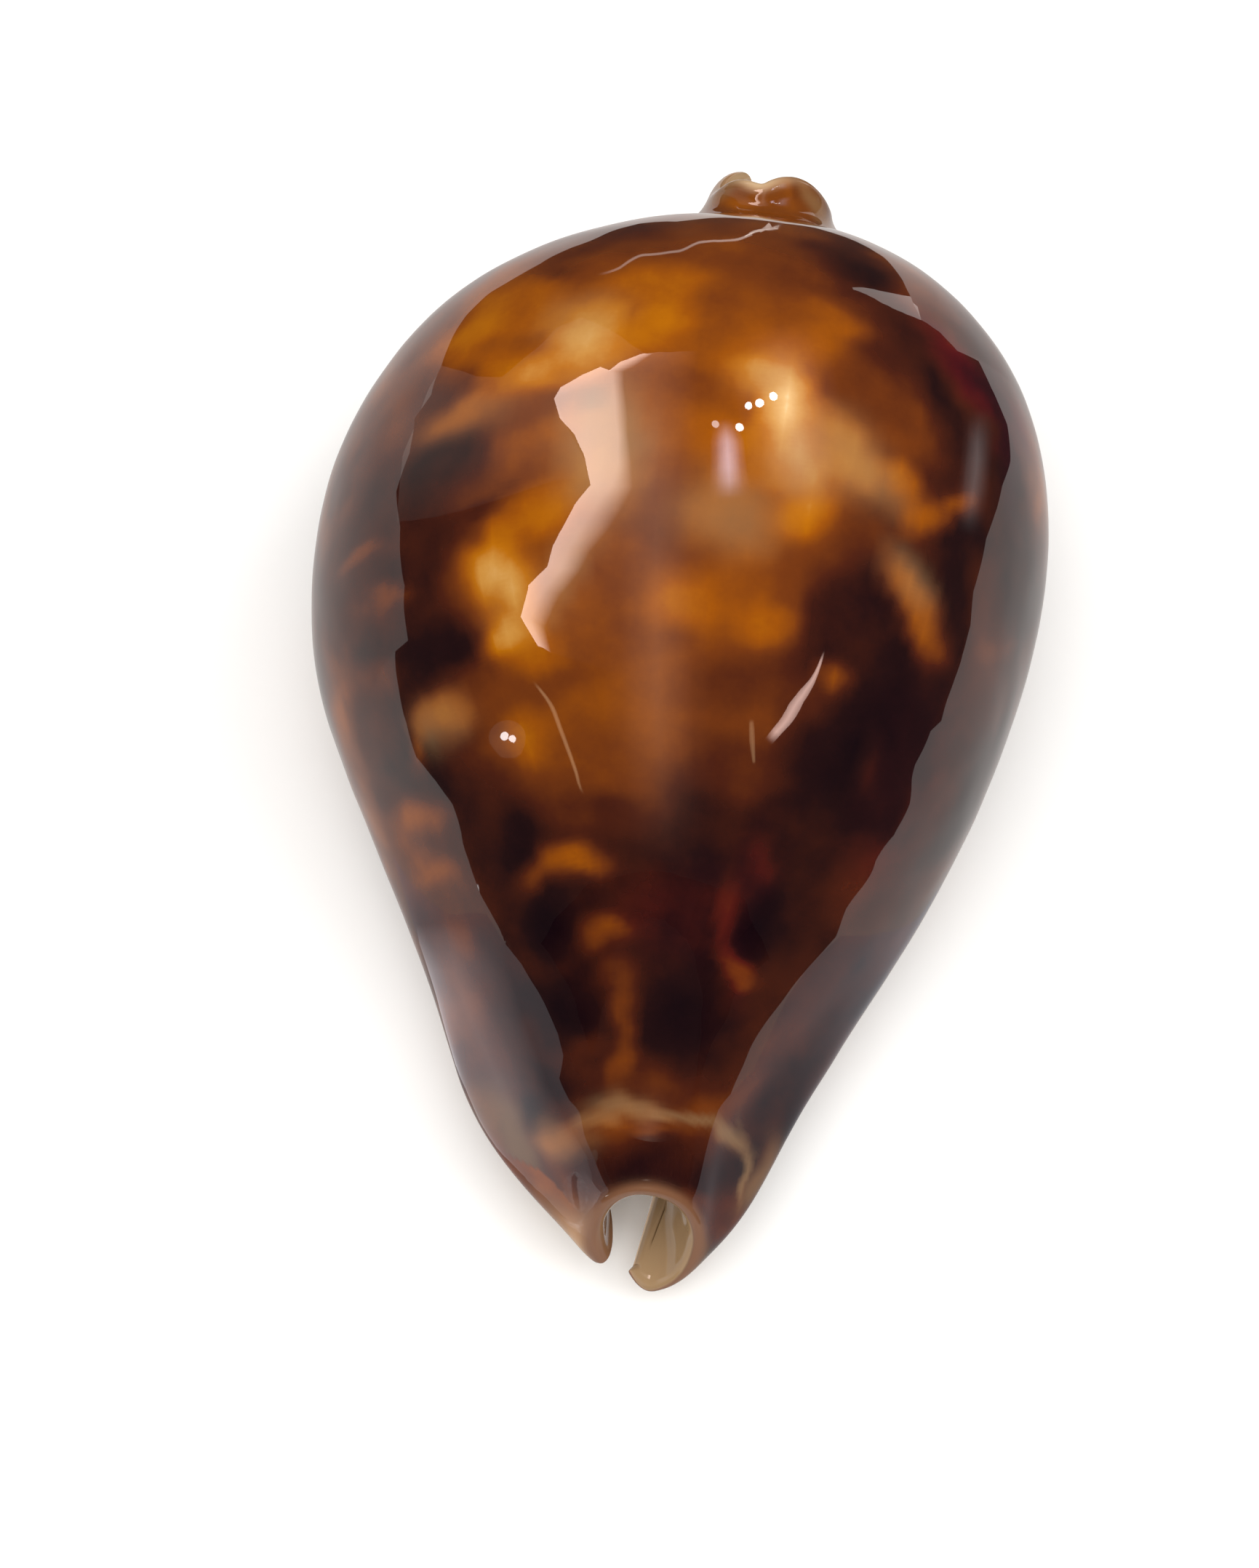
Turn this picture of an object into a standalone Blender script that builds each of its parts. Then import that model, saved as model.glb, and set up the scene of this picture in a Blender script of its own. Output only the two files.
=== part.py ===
"""Cowrie shell, Zoila jeaniana: one hollow, glossy shell with a toothed slit along its underside.

Metres, +Z up. The shell rests on its underside at z = 0, centred on the origin, with its narrow front
canal at -Y, its wide rear end at +Y, the slit's outer lip on the -X side and its inner lip on +X.
"""
import math

import bmesh
import bpy
import numpy as np

MM = 0.001

# Driving sizes, in mm.
LIP_WIDTH = 6.5            # how far from a lip's edge the underside begins to turn up into the slit
TOOTH_REACH = 0.50         # how far a tooth stands into the slit
TOOTH_HEIGHT = 0.55        # how far it stands up from the lip
TOOTH_LENGTH = 4.2         # how far it runs out onto the underside
OUTER_TEETH = 22
INNER_TEETH = 17
FLANGE_DROP = 0.30         # how far below the widest height the margins' flanges sit, as a sine
REAR_LOBE = 1.3            # how far the outer lip's lobe stands out past the rear canal's rim
REAR_NOTCH = 0.8           # how deep the rear canal's roof is notched beside that lobe
REST_DEPTH = 0.45          # how far the rings sink below z = 0, where the underside is worn flat
CENTRE_X = -0.92           # the rings' own middle, moved onto the origin
CENTRE_Y = 3.80
TRIANGLES = 9400           # triangles kept in the faceted solid

# The shell is a loft of rings around the hollow, each ring open at the slit. Every row below runs
# from the front canal's rim to the rear canal's rim, one number to a ring, in mm.
ALONG = [-37.9, -35.8, -32.3, -27.4, -20.0, -10.0, 1.0, 11.0, 20.5, 28.4, 34.2, 38.5, 40.8, 43.2, 45.4]
LEAN = [0.56, 0.48, 0.38, 0.30, 0.20, 0.08, 0.00, -0.02, -0.04, -0.06, -0.10, -0.18, -0.28, -0.34, -0.38]
MIDDLE_X = [1.6, 1.5, 1.3, 0.9, 0.3, -0.4, -1.0, -0.9, -0.4, 0.5, 1.4, 2.3, 2.9, 3.1, 3.1]
WIDE_Z = [8.6, 8.8, 9.4, 10.6, 12.0, 13.2, 14.2, 15.0, 16.0, 16.8, 16.6, 15.4, 13.6, 12.8, 13.2]
LEFT = [4.3, 6.9, 11.0, 14.6, 16.6, 21.6, 27.0, 27.9, 26.6, 23.0, 18.2, 12.0, 6.6, 5.2, 4.7]
RIGHT = [4.2, 6.5, 8.7, 10.9, 15.4, 21.5, 26.1, 27.8, 27.1, 23.4, 18.8, 13.0, 6.8, 5.0, 4.7]
LEFT_FLANGE = [0.3, 2.2, 5.2, 5.4, 3.0, 0.9, 0.4, 0.3, 0.3, 0.8, 2.2, 3.2, 1.0, 0.2, 0.0]
RIGHT_FLANGE = [0.0, 1.7, 3.8, 3.8, 1.9, 0.7, 0.6, 0.5, 0.4, 0.8, 2.2, 3.4, 1.2, 0.2, 0.0]
TOP = [13.7, 13.4, 14.9, 20.4, 29.6, 38.6, 43.4, 44.4, 43.0, 39.4, 34.0, 27.0, 19.0, 17.6, 18.8]
BOTTOM = [3.4, 2.7, 1.8, 1.0, 0.3, -0.12, -0.2, -0.2, 0.0, 0.5, 1.4, 2.6, 4.4, 6.0, 7.2]
ROUND_TOP = [2.0, 2.0, 2.0, 1.95, 1.95, 2.0, 2.05, 2.1, 2.15, 2.15, 2.1, 2.1, 2.0, 2.0, 2.0]
ROUND_BASE = [2.0, 2.0, 2.1, 2.15, 2.2, 2.25, 2.3, 2.3, 2.25, 2.2, 2.15, 2.1, 2.0, 2.0, 2.0]
SLIT_X = [-0.8, -0.7, -0.8, -1.2, -1.7, -1.8, -1.6, -1.0, 0.0, 1.0, 1.8, 2.5, 2.8, 3.0, 3.0]
SLIT_HALF = [1.5, 1.6, 2.2, 2.9, 3.1, 3.0, 2.85, 2.75, 2.7, 2.6, 2.4, 2.2, 1.8, 1.5, 1.5]
LIP_RISE = [0.1, 0.3, 1.2, 2.2, 2.6, 2.6, 2.6, 2.6, 2.6, 2.4, 2.0, 1.4, 0.6, 0.2, 0.0]
WALL_TOP = [1.5, 1.8, 2.2, 2.4, 2.4, 2.4, 2.4, 2.4, 2.4, 2.4, 2.4, 2.4, 2.2, 2.0, 1.8]
WALL_SIDE = [1.1, 1.8, 3.0, 4.6, 5.2, 5.4, 5.4, 5.2, 5.0, 4.8, 4.2, 3.4, 2.4, 2.0, 1.8]
WALL_BASE = [0.9, 1.2, 2.2, 3.6, 4.4, 4.6, 4.6, 4.6, 4.4, 4.2, 3.8, 3.2, 2.4, 2.0, 1.8]

ROWS = 250                 # rings in the fine loft
COLUMNS = 150              # points around each ring
SHELL_COLOUR = (0.16, 0.052, 0.014, 1.0)


def between_rings(row, place):
    """A smooth value at each place along a row of ring values: a uniform cubic B-spline."""
    row = np.asarray(row, float)
    padded = np.concatenate([[2 * row[0] - row[1]], row, [2 * row[-1] - row[-2]]])
    k = np.clip(np.floor(place).astype(int), 0, len(row) - 2)
    f = place - k
    return ((1 - f) ** 3 * padded[k] + (3 * f ** 3 - 6 * f ** 2 + 4) * padded[k + 1]
            + (-3 * f ** 3 + 3 * f ** 2 + 3 * f + 1) * padded[k + 2] + f ** 3 * padded[k + 3]) / 6


def smooth_step(x):
    x = np.clip(x, 0.0, 1.0)
    return x * x * (3 - 2 * x)


def bump(turn, centre, width):
    """1 at an angle around the ring, given in degrees, falling smoothly to 0 on both sides."""
    away = (turn - math.radians(centre) + math.pi) % (2 * math.pi) - math.pi
    return np.exp(-(away / math.radians(width)) ** 2)


def ring_outline(place, turn, flange=True):
    """x and z of the ring at each place, at the angle turn, with its margins' flanges or without."""
    c, s = np.cos(turn), np.sin(turn)
    base, top = between_rings(ROUND_BASE, place), between_rings(ROUND_TOP, place)
    power = base + smooth_step(0.5 + 0.5 * s) * (top - base)
    across = np.sign(c) * np.abs(c) ** (2 / power)
    upright = np.sign(s) * np.abs(s) ** (2 / power)
    to_right = 0.5 + 0.5 * c * (1.5 - 0.5 * c * c)
    to_top = 0.5 + 0.5 * s * (1.5 - 0.5 * s * s)
    left_flange, right_flange = between_rings(LEFT_FLANGE, place), between_rings(RIGHT_FLANGE, place)
    left = between_rings(LEFT, place) - left_flange
    right = between_rings(RIGHT, place) - right_flange
    wide = between_rings(WIDE_Z, place)
    up, down = between_rings(TOP, place) - wide, wide - between_rings(BOTTOM, place)
    x = between_rings(MIDDLE_X, place) + (left + to_right * (right - left)) * across
    z = wide + (down + to_top * (up - down)) * upright
    if flange:
        low = s + FLANGE_DROP
        spread = np.where(low > 0, 0.48 - 0.14 * to_right, 0.6)
        reach = np.exp(-(low / spread) ** 2) * c
        x = x + reach * (left_flange + to_right * (right_flange - left_flange))
    return x, z


def lean_back(place, turn, x, z):
    """Adds y: the rings lean, so that they fan out around the shell's ends, and the rear rim is lobed."""
    y = between_rings(ALONG, place) + between_rings(LEAN, place) * (z - between_rings(WIDE_Z, place))
    at_rear = smooth_step((place - len(ALONG) + 3.2) / 2.2)
    lobes = REAR_LOBE * bump(turn, 230, 40) - REAR_NOTCH * bump(turn, 104, 22) \
        - 1.1 * bump(turn, 172, 28) + 0.2 * bump(turn, 60, 28) - 1.2 * bump(turn, 5, 30)
    return np.stack([x, y + at_rear * lobes, z], axis=-1)


def tooth_wave(along, first, last, count):
    """Ridges across a lip: 1 on a tooth's crest, 0 between teeth, fading out at both ends."""
    wave = (0.5 - 0.5 * np.cos(2 * math.pi * count * (along - first) / (last - first))) ** 1.4
    return wave * smooth_step((along - first) / 3.0) * smooth_step((last - along) / 3.0)


def loft_places():
    """Places along the rings, evenly spaced along the slit and closer together at the two rims."""
    fine = np.linspace(0, len(ALONG) - 1, 2001)
    low = np.stack([between_rings(row, fine) for row in (SLIT_X, ALONG, BOTTOM)], axis=-1)
    walk = np.concatenate([[0], np.cumsum(np.linalg.norm(np.diff(low, axis=0), axis=1))])
    near = np.array([0, 0.04, 0.14, 0.3, 0.52, 0.78])
    middle = np.linspace(1.1, walk[-1] - 1.1, ROWS - 2 * len(near))
    return np.interp(np.concatenate([near, middle, walk[-1] - near[::-1]]), walk, fine)[:, None]


def around_rings(place):
    """Angles around each ring from the outer lip over the back to the inner lip, by distance.

    Returns the ring's angles, its length at each of them, and the distances of the loft's columns
    from the outer lip and from the inner lip.
    """
    low_half = np.linspace(-math.pi, 0, 721)
    low_x, _ = ring_outline(place, low_half[None, :])
    slit_x = between_rings(SLIT_X, place)[:, 0]
    slit = np.array([np.interp(x, row, low_half) for x, row in zip(slit_x, low_x)])
    turn = slit[:, None] - np.linspace(0, 2 * math.pi, 1441)[None, :]
    x, z = ring_outline(place, turn)
    step = np.hypot(np.diff(x, axis=1), np.diff(z, axis=1))
    around = np.concatenate([np.zeros((len(place), 1)), np.cumsum(step, axis=1)], axis=1)

    total = around[:, -1:] - 2 * between_rings(SLIT_HALF, place)
    edge = between_rings(WALL_BASE, place) / 2 * np.array([[0, 0.035, 0.13, 0.29, 0.5, 0.76, 1.08, 1.45]])
    even = np.linspace(0, 1, COLUMNS - 2 * edge.shape[1] + 2)[None, 1:-1]
    even = even - 0.08 * np.sin(2 * math.pi * even)
    start, end = edge[:, -1:], total - edge[:, -1:]
    from_outer = np.concatenate([edge, start + (end - start) * even, total - edge[:, ::-1]], axis=1)
    return turn, around, from_outer, total - from_outer


def shell_points():
    """The fine loft's outer and inner points, as two grids of rows and columns, in mm."""
    place = loft_places()
    turn, around, from_outer, from_inner = around_rings(place)

    # Teeth reach into the slit from both lips, and fade out over the underside.
    along = between_rings(ALONG, place)
    outer_teeth = tooth_wave(along, -32.5, 37.0, OUTER_TEETH)
    inner_teeth = tooth_wave(along, -31.5, 31.0, INNER_TEETH) * (0.35 + 0.65 * smooth_step((4 - along) / 14))
    outer_teeth = outer_teeth * np.exp(-1.6 * (from_outer / TOOTH_LENGTH) ** 2)
    inner_teeth = inner_teeth * np.exp(-1.6 * (from_inner / TOOTH_LENGTH) ** 2)
    walk = between_rings(SLIT_HALF, place) + from_outer + TOOTH_REACH * (inner_teeth - outer_teeth)
    angle = np.array([np.interp(w, a, t) for w, a, t in zip(walk, around, turn)])

    # Both lips turn up into the slit, and their ends are rounded off at the two rims.
    rise = between_rings(LIP_RISE, place) * (np.clip(1 - from_outer / LIP_WIDTH, 0, 1) ** 2.3
                                             + np.clip(1 - from_inner / LIP_WIDTH, 0, 1) ** 2.3)
    at_front = smooth_step(1 - place / 0.9)
    at_rear = smooth_step(1 - (len(ALONG) - 1 - place) / 0.9)
    outer_corner = np.clip(1 - from_outer / 2.2, 0, 1) ** 2
    inner_corner = np.clip(1 - from_inner / 2.4, 0, 1) ** 2
    trim = at_front * (0.2 * outer_corner + 1.3 * inner_corner) - at_rear * 1.2 * (outer_corner + inner_corner)

    def place_points(flange):
        x, z = ring_outline(place, angle, flange)
        points = lean_back(place, angle, x, z + rise)
        points[..., 1] += trim
        return points

    # The wall's inner face lies under the flangeless rings by the wall's thickness.
    outer, core = place_points(True), place_points(False)
    s = np.sin(angle)
    side = between_rings(WALL_SIDE, place)
    wall = side + smooth_step(s) * (between_rings(WALL_TOP, place) - side) \
        + smooth_step(-s) * (between_rings(WALL_BASE, place) - side)
    out = np.cross(np.gradient(core, axis=0), np.gradient(core, axis=1))
    out /= np.linalg.norm(out, axis=-1, keepdims=True)
    out *= np.sign(out[ROWS // 2, COLUMNS // 2, 2])
    inner = core - wall[..., None] * out

    # Lips and rims are rounded: the two faces meet along the loft's four edges.
    length = np.linalg.norm(np.diff(outer, axis=0), axis=-1)
    row_walk = np.concatenate([np.zeros((1, COLUMNS)), np.cumsum(length, axis=0)], axis=0)
    to_rim = np.minimum(row_walk, row_walk[-1:] - row_walk)
    to_lip = np.minimum(from_outer, from_inner)
    half_wall = np.linalg.norm(outer - inner, axis=-1) / 2
    near_edge = np.maximum(1 - to_rim / np.minimum(half_wall, 1.1),
                           1 - to_lip / (between_rings(WALL_BASE, place) / 2))
    fullness = np.sqrt(1 - np.clip(near_edge, 0, 1) ** 2)[..., None]
    middle, half = (outer + inner) / 2, (outer - inner) / 2
    teeth = TOOTH_HEIGHT * (outer_teeth + inner_teeth)[..., None]
    outer, inner = middle + fullness * (half + teeth * out), middle - fullness * half

    for face in (outer, inner):
        face -= (CENTRE_X, CENTRE_Y, REST_DEPTH)
    outer[..., 2] = np.maximum(outer[..., 2], 0.0)
    return outer, inner


def build_shell():
    """The closed mesh: both grids of points, sharing the points along their four edges."""
    outer, inner = shell_points()
    points = np.concatenate([outer.reshape(-1, 3), inner[1:-1, 1:-1].reshape(-1, 3)]) * MM
    outer_id = np.arange(ROWS * COLUMNS).reshape(ROWS, COLUMNS)
    inner_id = outer_id.copy()
    inner_id[1:-1, 1:-1] = ROWS * COLUMNS + np.arange((ROWS - 2) * (COLUMNS - 2)).reshape(ROWS - 2, -1)
    faces = []
    for ids in (outer_id, inner_id[:, ::-1]):
        quads = np.stack([ids[:-1, :-1], ids[:-1, 1:], ids[1:, 1:], ids[1:, :-1]], axis=-1)
        faces += quads.reshape(-1, 4).tolist()
    corners = {int(outer_id[i, j]) for i in (0, -1) for j in (0, -1)}
    faces = [[v for v in face if v not in corners] for face in faces]

    mesh = bpy.data.meshes.new("shell")
    mesh.from_pydata(points.tolist(), [], faces)
    bm = bmesh.new()
    bm.from_mesh(mesh)
    bmesh.ops.delete(bm, geom=[v for v in bm.verts if not v.link_faces], context="VERTS")
    bmesh.ops.recalc_face_normals(bm, faces=bm.faces)
    bm.to_mesh(mesh)
    bm.free()
    mesh.shade_smooth()
    return mesh


def shell_material():
    material = bpy.data.materials.new("polished_shell")
    material.use_nodes = True
    shader = material.node_tree.nodes["Principled BSDF"]
    shader.inputs["Base Color"].default_value = SHELL_COLOUR
    shader.inputs["Roughness"].default_value = 0.12
    shader.inputs["Metallic"].default_value = 0.0
    return material


for leftover in list(bpy.data.objects):
    bpy.data.objects.remove(leftover, do_unlink=True)

collection = bpy.data.collections.new("cowrie_shell")
bpy.context.scene.collection.children.link(collection)
shell = bpy.data.objects.new("shell", build_shell())
shell.data.materials.append(shell_material())
collection.objects.link(shell)

facets = shell.modifiers.new("facets", "DECIMATE")
facets.decimate_type = "COLLAPSE"
facets.ratio = TRIANGLES / (4 * (ROWS - 1) * (COLUMNS - 1))
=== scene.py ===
"""Looks of a cowrie shell: polished, tortoiseshell-mottled enamel over a pear-shaped, high dome."""
import math

import bpy
import numpy as np
from mathutils import Matrix, Vector, noise


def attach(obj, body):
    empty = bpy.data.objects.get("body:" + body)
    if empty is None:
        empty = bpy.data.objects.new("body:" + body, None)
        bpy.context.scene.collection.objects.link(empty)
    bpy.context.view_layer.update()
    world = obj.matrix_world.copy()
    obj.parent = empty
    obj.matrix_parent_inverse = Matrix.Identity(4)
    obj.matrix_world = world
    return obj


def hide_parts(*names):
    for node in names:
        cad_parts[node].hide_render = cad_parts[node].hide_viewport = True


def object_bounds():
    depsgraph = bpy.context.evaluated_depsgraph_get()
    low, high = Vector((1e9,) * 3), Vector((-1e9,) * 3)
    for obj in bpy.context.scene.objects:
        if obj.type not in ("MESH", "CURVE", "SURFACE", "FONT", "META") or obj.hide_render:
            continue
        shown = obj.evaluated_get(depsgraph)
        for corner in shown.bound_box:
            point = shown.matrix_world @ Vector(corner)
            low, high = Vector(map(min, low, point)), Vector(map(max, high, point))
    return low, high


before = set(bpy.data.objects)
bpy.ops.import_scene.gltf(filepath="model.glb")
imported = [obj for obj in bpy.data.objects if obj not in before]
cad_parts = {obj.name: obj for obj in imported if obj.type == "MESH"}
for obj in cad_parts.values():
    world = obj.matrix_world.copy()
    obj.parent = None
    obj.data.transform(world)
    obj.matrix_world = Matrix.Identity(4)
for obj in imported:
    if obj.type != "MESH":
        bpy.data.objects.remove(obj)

cad_low, cad_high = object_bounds()

MM = 0.001

# The rings of the shell's loft, from the front canal's rim to the rear canal's rim, in mm.
ALONG = [-37.9, -35.8, -32.3, -27.4, -20.0, -10.0, 1.0, 11.0, 20.5, 28.4, 34.2, 38.5, 40.8, 43.2, 45.4]
LEAN = [0.56, 0.48, 0.38, 0.30, 0.20, 0.08, 0.00, -0.02, -0.04, -0.06, -0.10, -0.18, -0.28, -0.34, -0.38]
MIDDLE_X = [1.6, 1.5, 1.3, 0.9, 0.3, -0.4, -1.0, -0.9, -0.4, 0.5, 1.4, 2.3, 2.9, 3.1, 3.1]
WIDE_Z = [8.6, 8.8, 9.4, 10.6, 12.0, 13.2, 14.2, 15.0, 16.0, 16.8, 16.6, 15.4, 13.6, 12.8, 13.2]
LEFT = [4.3, 6.9, 11.0, 14.6, 16.6, 21.6, 27.0, 27.9, 26.6, 23.0, 18.2, 12.0, 6.6, 5.2, 4.7]
RIGHT = [4.2, 6.5, 8.7, 10.9, 15.4, 21.5, 26.1, 27.8, 27.1, 23.4, 18.8, 13.0, 6.8, 5.0, 4.7]
LEFT_FLANGE = [0.3, 2.2, 5.2, 5.4, 3.0, 0.9, 0.4, 0.3, 0.3, 0.8, 2.2, 3.2, 1.0, 0.2, 0.0]
RIGHT_FLANGE = [0.0, 1.7, 3.8, 3.8, 1.9, 0.7, 0.6, 0.5, 0.4, 0.8, 2.2, 3.4, 1.2, 0.2, 0.0]
TOP = [13.7, 13.4, 14.9, 20.4, 29.6, 38.6, 43.4, 44.4, 43.0, 39.4, 34.0, 27.0, 19.0, 17.6, 18.8]
BOTTOM = [3.4, 2.7, 1.8, 1.0, 0.3, -0.12, -0.2, -0.2, 0.0, 0.5, 1.4, 2.6, 4.4, 6.0, 7.2]
ROUND_TOP = [2.0, 2.0, 2.0, 1.95, 1.95, 2.0, 2.05, 2.1, 2.15, 2.15, 2.1, 2.1, 2.0, 2.0, 2.0]
ROUND_BASE = [2.0, 2.0, 2.1, 2.15, 2.2, 2.25, 2.3, 2.3, 2.25, 2.2, 2.15, 2.1, 2.0, 2.0, 2.0]
SLIT_X = [-0.8, -0.7, -0.8, -1.2, -1.7, -1.8, -1.6, -1.0, 0.0, 1.0, 1.8, 2.5, 2.8, 3.0, 3.0]
SLIT_HALF = [1.5, 1.6, 2.2, 2.9, 3.1, 3.0, 2.85, 2.75, 2.7, 2.6, 2.4, 2.2, 1.8, 1.5, 1.5]
LIP_RISE = [0.1, 0.3, 1.2, 2.2, 2.6, 2.6, 2.6, 2.6, 2.6, 2.4, 2.0, 1.4, 0.6, 0.2, 0.0]
WALL_TOP = [1.5, 1.8, 2.2, 2.4, 2.4, 2.4, 2.4, 2.4, 2.4, 2.4, 2.4, 2.4, 2.2, 2.0, 1.8]
WALL_SIDE = [1.1, 1.8, 3.0, 4.6, 5.2, 5.4, 5.4, 5.2, 5.0, 4.8, 4.2, 3.4, 2.4, 2.0, 1.8]
WALL_BASE = [0.9, 1.2, 2.2, 3.6, 4.4, 4.6, 4.6, 4.6, 4.4, 4.2, 3.8, 3.2, 2.4, 2.0, 1.8]

LIP_WIDTH = 6.5            # how far from a lip's edge the underside begins to turn up into the slit
FLANGE_DROP = 0.30         # how far below the widest height the margins' flanges sit, as a sine
REAR_LOBE = 1.3            # how far the outer lip's lobe stands out past the rear canal's rim
REAR_NOTCH = 0.8           # how deep the rear canal's roof is notched beside that lobe
REST_DEPTH = 0.45          # how far the rings sink below z = 0, where the underside is worn flat
CENTRE_X, CENTRE_Y = -0.92, 3.80
ROWS, COLUMNS = 260, 180   # points along the shell and around it

# Teeth and waves in the surface, raised by the geometry nodes, in mm.
TOOTH_REACH = 0.50
TOOTH_HEIGHT = 0.55
TOOTH_LENGTH = 4.2
OUTER_TEETH, INNER_TEETH = 22, 17
WAVE_HEIGHT, WAVE_LENGTH = 0.16, 13.0
RIPPLE_HEIGHT, RIPPLE_LENGTH = 0.04, 3.6

# The photo's frame and where its camera stood, in the shell's own millimetres.
PHOTO_WIDTH, PHOTO_HEIGHT = 1731, 2156
PHOTO_CENTRE = (930, 1003)      # pixel of the point that the camera looks at
PIXELS_PER_MM = 18.4
LOOK_AT = np.array([0.92, -3.80, 12.55])
CAMERA_DISTANCE = 290.0
CAMERA_TILT = math.radians(18)  # off the vertical, towards the front canal
CAMERA_ROLL = math.radians(6)


# Shape

def between_rings(row, place):
    """A smooth value at each place along a row of ring values: a uniform cubic B-spline."""
    row = np.asarray(row, float)
    padded = np.concatenate([[2 * row[0] - row[1]], row, [2 * row[-1] - row[-2]]])
    k = np.clip(np.floor(place).astype(int), 0, len(row) - 2)
    f = place - k
    return ((1 - f) ** 3 * padded[k] + (3 * f ** 3 - 6 * f ** 2 + 4) * padded[k + 1]
            + (-3 * f ** 3 + 3 * f ** 2 + 3 * f + 1) * padded[k + 2] + f ** 3 * padded[k + 3]) / 6


def smooth_step(x):
    x = np.clip(x, 0.0, 1.0)
    return x * x * (3 - 2 * x)


def bump(turn, centre, width):
    """1 at an angle around the ring, given in degrees, falling smoothly to 0 on both sides."""
    away = (turn - math.radians(centre) + math.pi) % (2 * math.pi) - math.pi
    return np.exp(-(away / math.radians(width)) ** 2)


def ring_outline(place, turn, flange=True):
    """x and z of the ring at each place, at the angle turn, with its margins' flanges or without."""
    c, s = np.cos(turn), np.sin(turn)
    base, top = between_rings(ROUND_BASE, place), between_rings(ROUND_TOP, place)
    power = base + smooth_step(0.5 + 0.5 * s) * (top - base)
    across = np.sign(c) * np.abs(c) ** (2 / power)
    upright = np.sign(s) * np.abs(s) ** (2 / power)
    to_right = 0.5 + 0.5 * c * (1.5 - 0.5 * c * c)
    to_top = 0.5 + 0.5 * s * (1.5 - 0.5 * s * s)
    left_flange, right_flange = between_rings(LEFT_FLANGE, place), between_rings(RIGHT_FLANGE, place)
    left = between_rings(LEFT, place) - left_flange
    right = between_rings(RIGHT, place) - right_flange
    wide = between_rings(WIDE_Z, place)
    up, down = between_rings(TOP, place) - wide, wide - between_rings(BOTTOM, place)
    x = between_rings(MIDDLE_X, place) + (left + to_right * (right - left)) * across
    z = wide + (down + to_top * (up - down)) * upright
    if flange:
        low = s + FLANGE_DROP
        spread = np.where(low > 0, 0.48 - 0.14 * to_right, 0.6)
        reach = np.exp(-(low / spread) ** 2) * c
        x = x + reach * (left_flange + to_right * (right_flange - left_flange))
    return x, z


def lean_back(place, turn, x, z):
    """Adds y: the rings lean, so that they fan out around the shell's ends, and the rear rim is lobed."""
    y = between_rings(ALONG, place) + between_rings(LEAN, place) * (z - between_rings(WIDE_Z, place))
    at_rear = smooth_step((place - len(ALONG) + 3.2) / 2.2)
    lobes = REAR_LOBE * bump(turn, 230, 40) - REAR_NOTCH * bump(turn, 104, 22) \
        - 1.1 * bump(turn, 172, 28) + 0.2 * bump(turn, 60, 28) - 1.2 * bump(turn, 5, 30)
    return np.stack([x, y + at_rear * lobes, z], axis=-1)


def loft_places():
    """Places along the rings, evenly spaced along the slit and closer together at the two rims."""
    fine = np.linspace(0, len(ALONG) - 1, 2001)
    low = np.stack([between_rings(row, fine) for row in (SLIT_X, ALONG, BOTTOM)], axis=-1)
    walk = np.concatenate([[0], np.cumsum(np.linalg.norm(np.diff(low, axis=0), axis=1))])
    near = np.array([0, 0.04, 0.14, 0.3, 0.52, 0.78])
    middle = np.linspace(1.1, walk[-1] - 1.1, ROWS - 2 * len(near))
    return np.interp(np.concatenate([near, middle, walk[-1] - near[::-1]]), walk, fine)[:, None]


def around_rings(place):
    """Angles around each ring from the outer lip over the back to the inner lip, by distance.

    Returns the ring's angles, its length at each of them, and the distances of the loft's columns
    from the outer lip and from the inner lip.
    """
    low_half = np.linspace(-math.pi, 0, 721)
    low_x, _ = ring_outline(place, low_half[None, :])
    slit_x = between_rings(SLIT_X, place)[:, 0]
    slit = np.array([np.interp(x, row, low_half) for x, row in zip(slit_x, low_x)])
    turn = slit[:, None] - np.linspace(0, 2 * math.pi, 1441)[None, :]
    x, z = ring_outline(place, turn)
    step = np.hypot(np.diff(x, axis=1), np.diff(z, axis=1))
    around = np.concatenate([np.zeros((len(place), 1)), np.cumsum(step, axis=1)], axis=1)

    total = around[:, -1:] - 2 * between_rings(SLIT_HALF, place)
    edge = between_rings(WALL_BASE, place) / 2 * np.array([[0, 0.035, 0.13, 0.29, 0.5, 0.76, 1.08, 1.45]])
    even = np.linspace(0, 1, COLUMNS - 2 * edge.shape[1] + 2)[None, 1:-1]
    even = even - 0.08 * np.sin(2 * math.pi * even)
    start, end = edge[:, -1:], total - edge[:, -1:]
    from_outer = np.concatenate([edge, start + (end - start) * even, total - edge[:, ::-1]], axis=1)
    return turn, around, from_outer, total - from_outer


def unit(v):
    return v / np.linalg.norm(v, axis=-1, keepdims=True)


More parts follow.
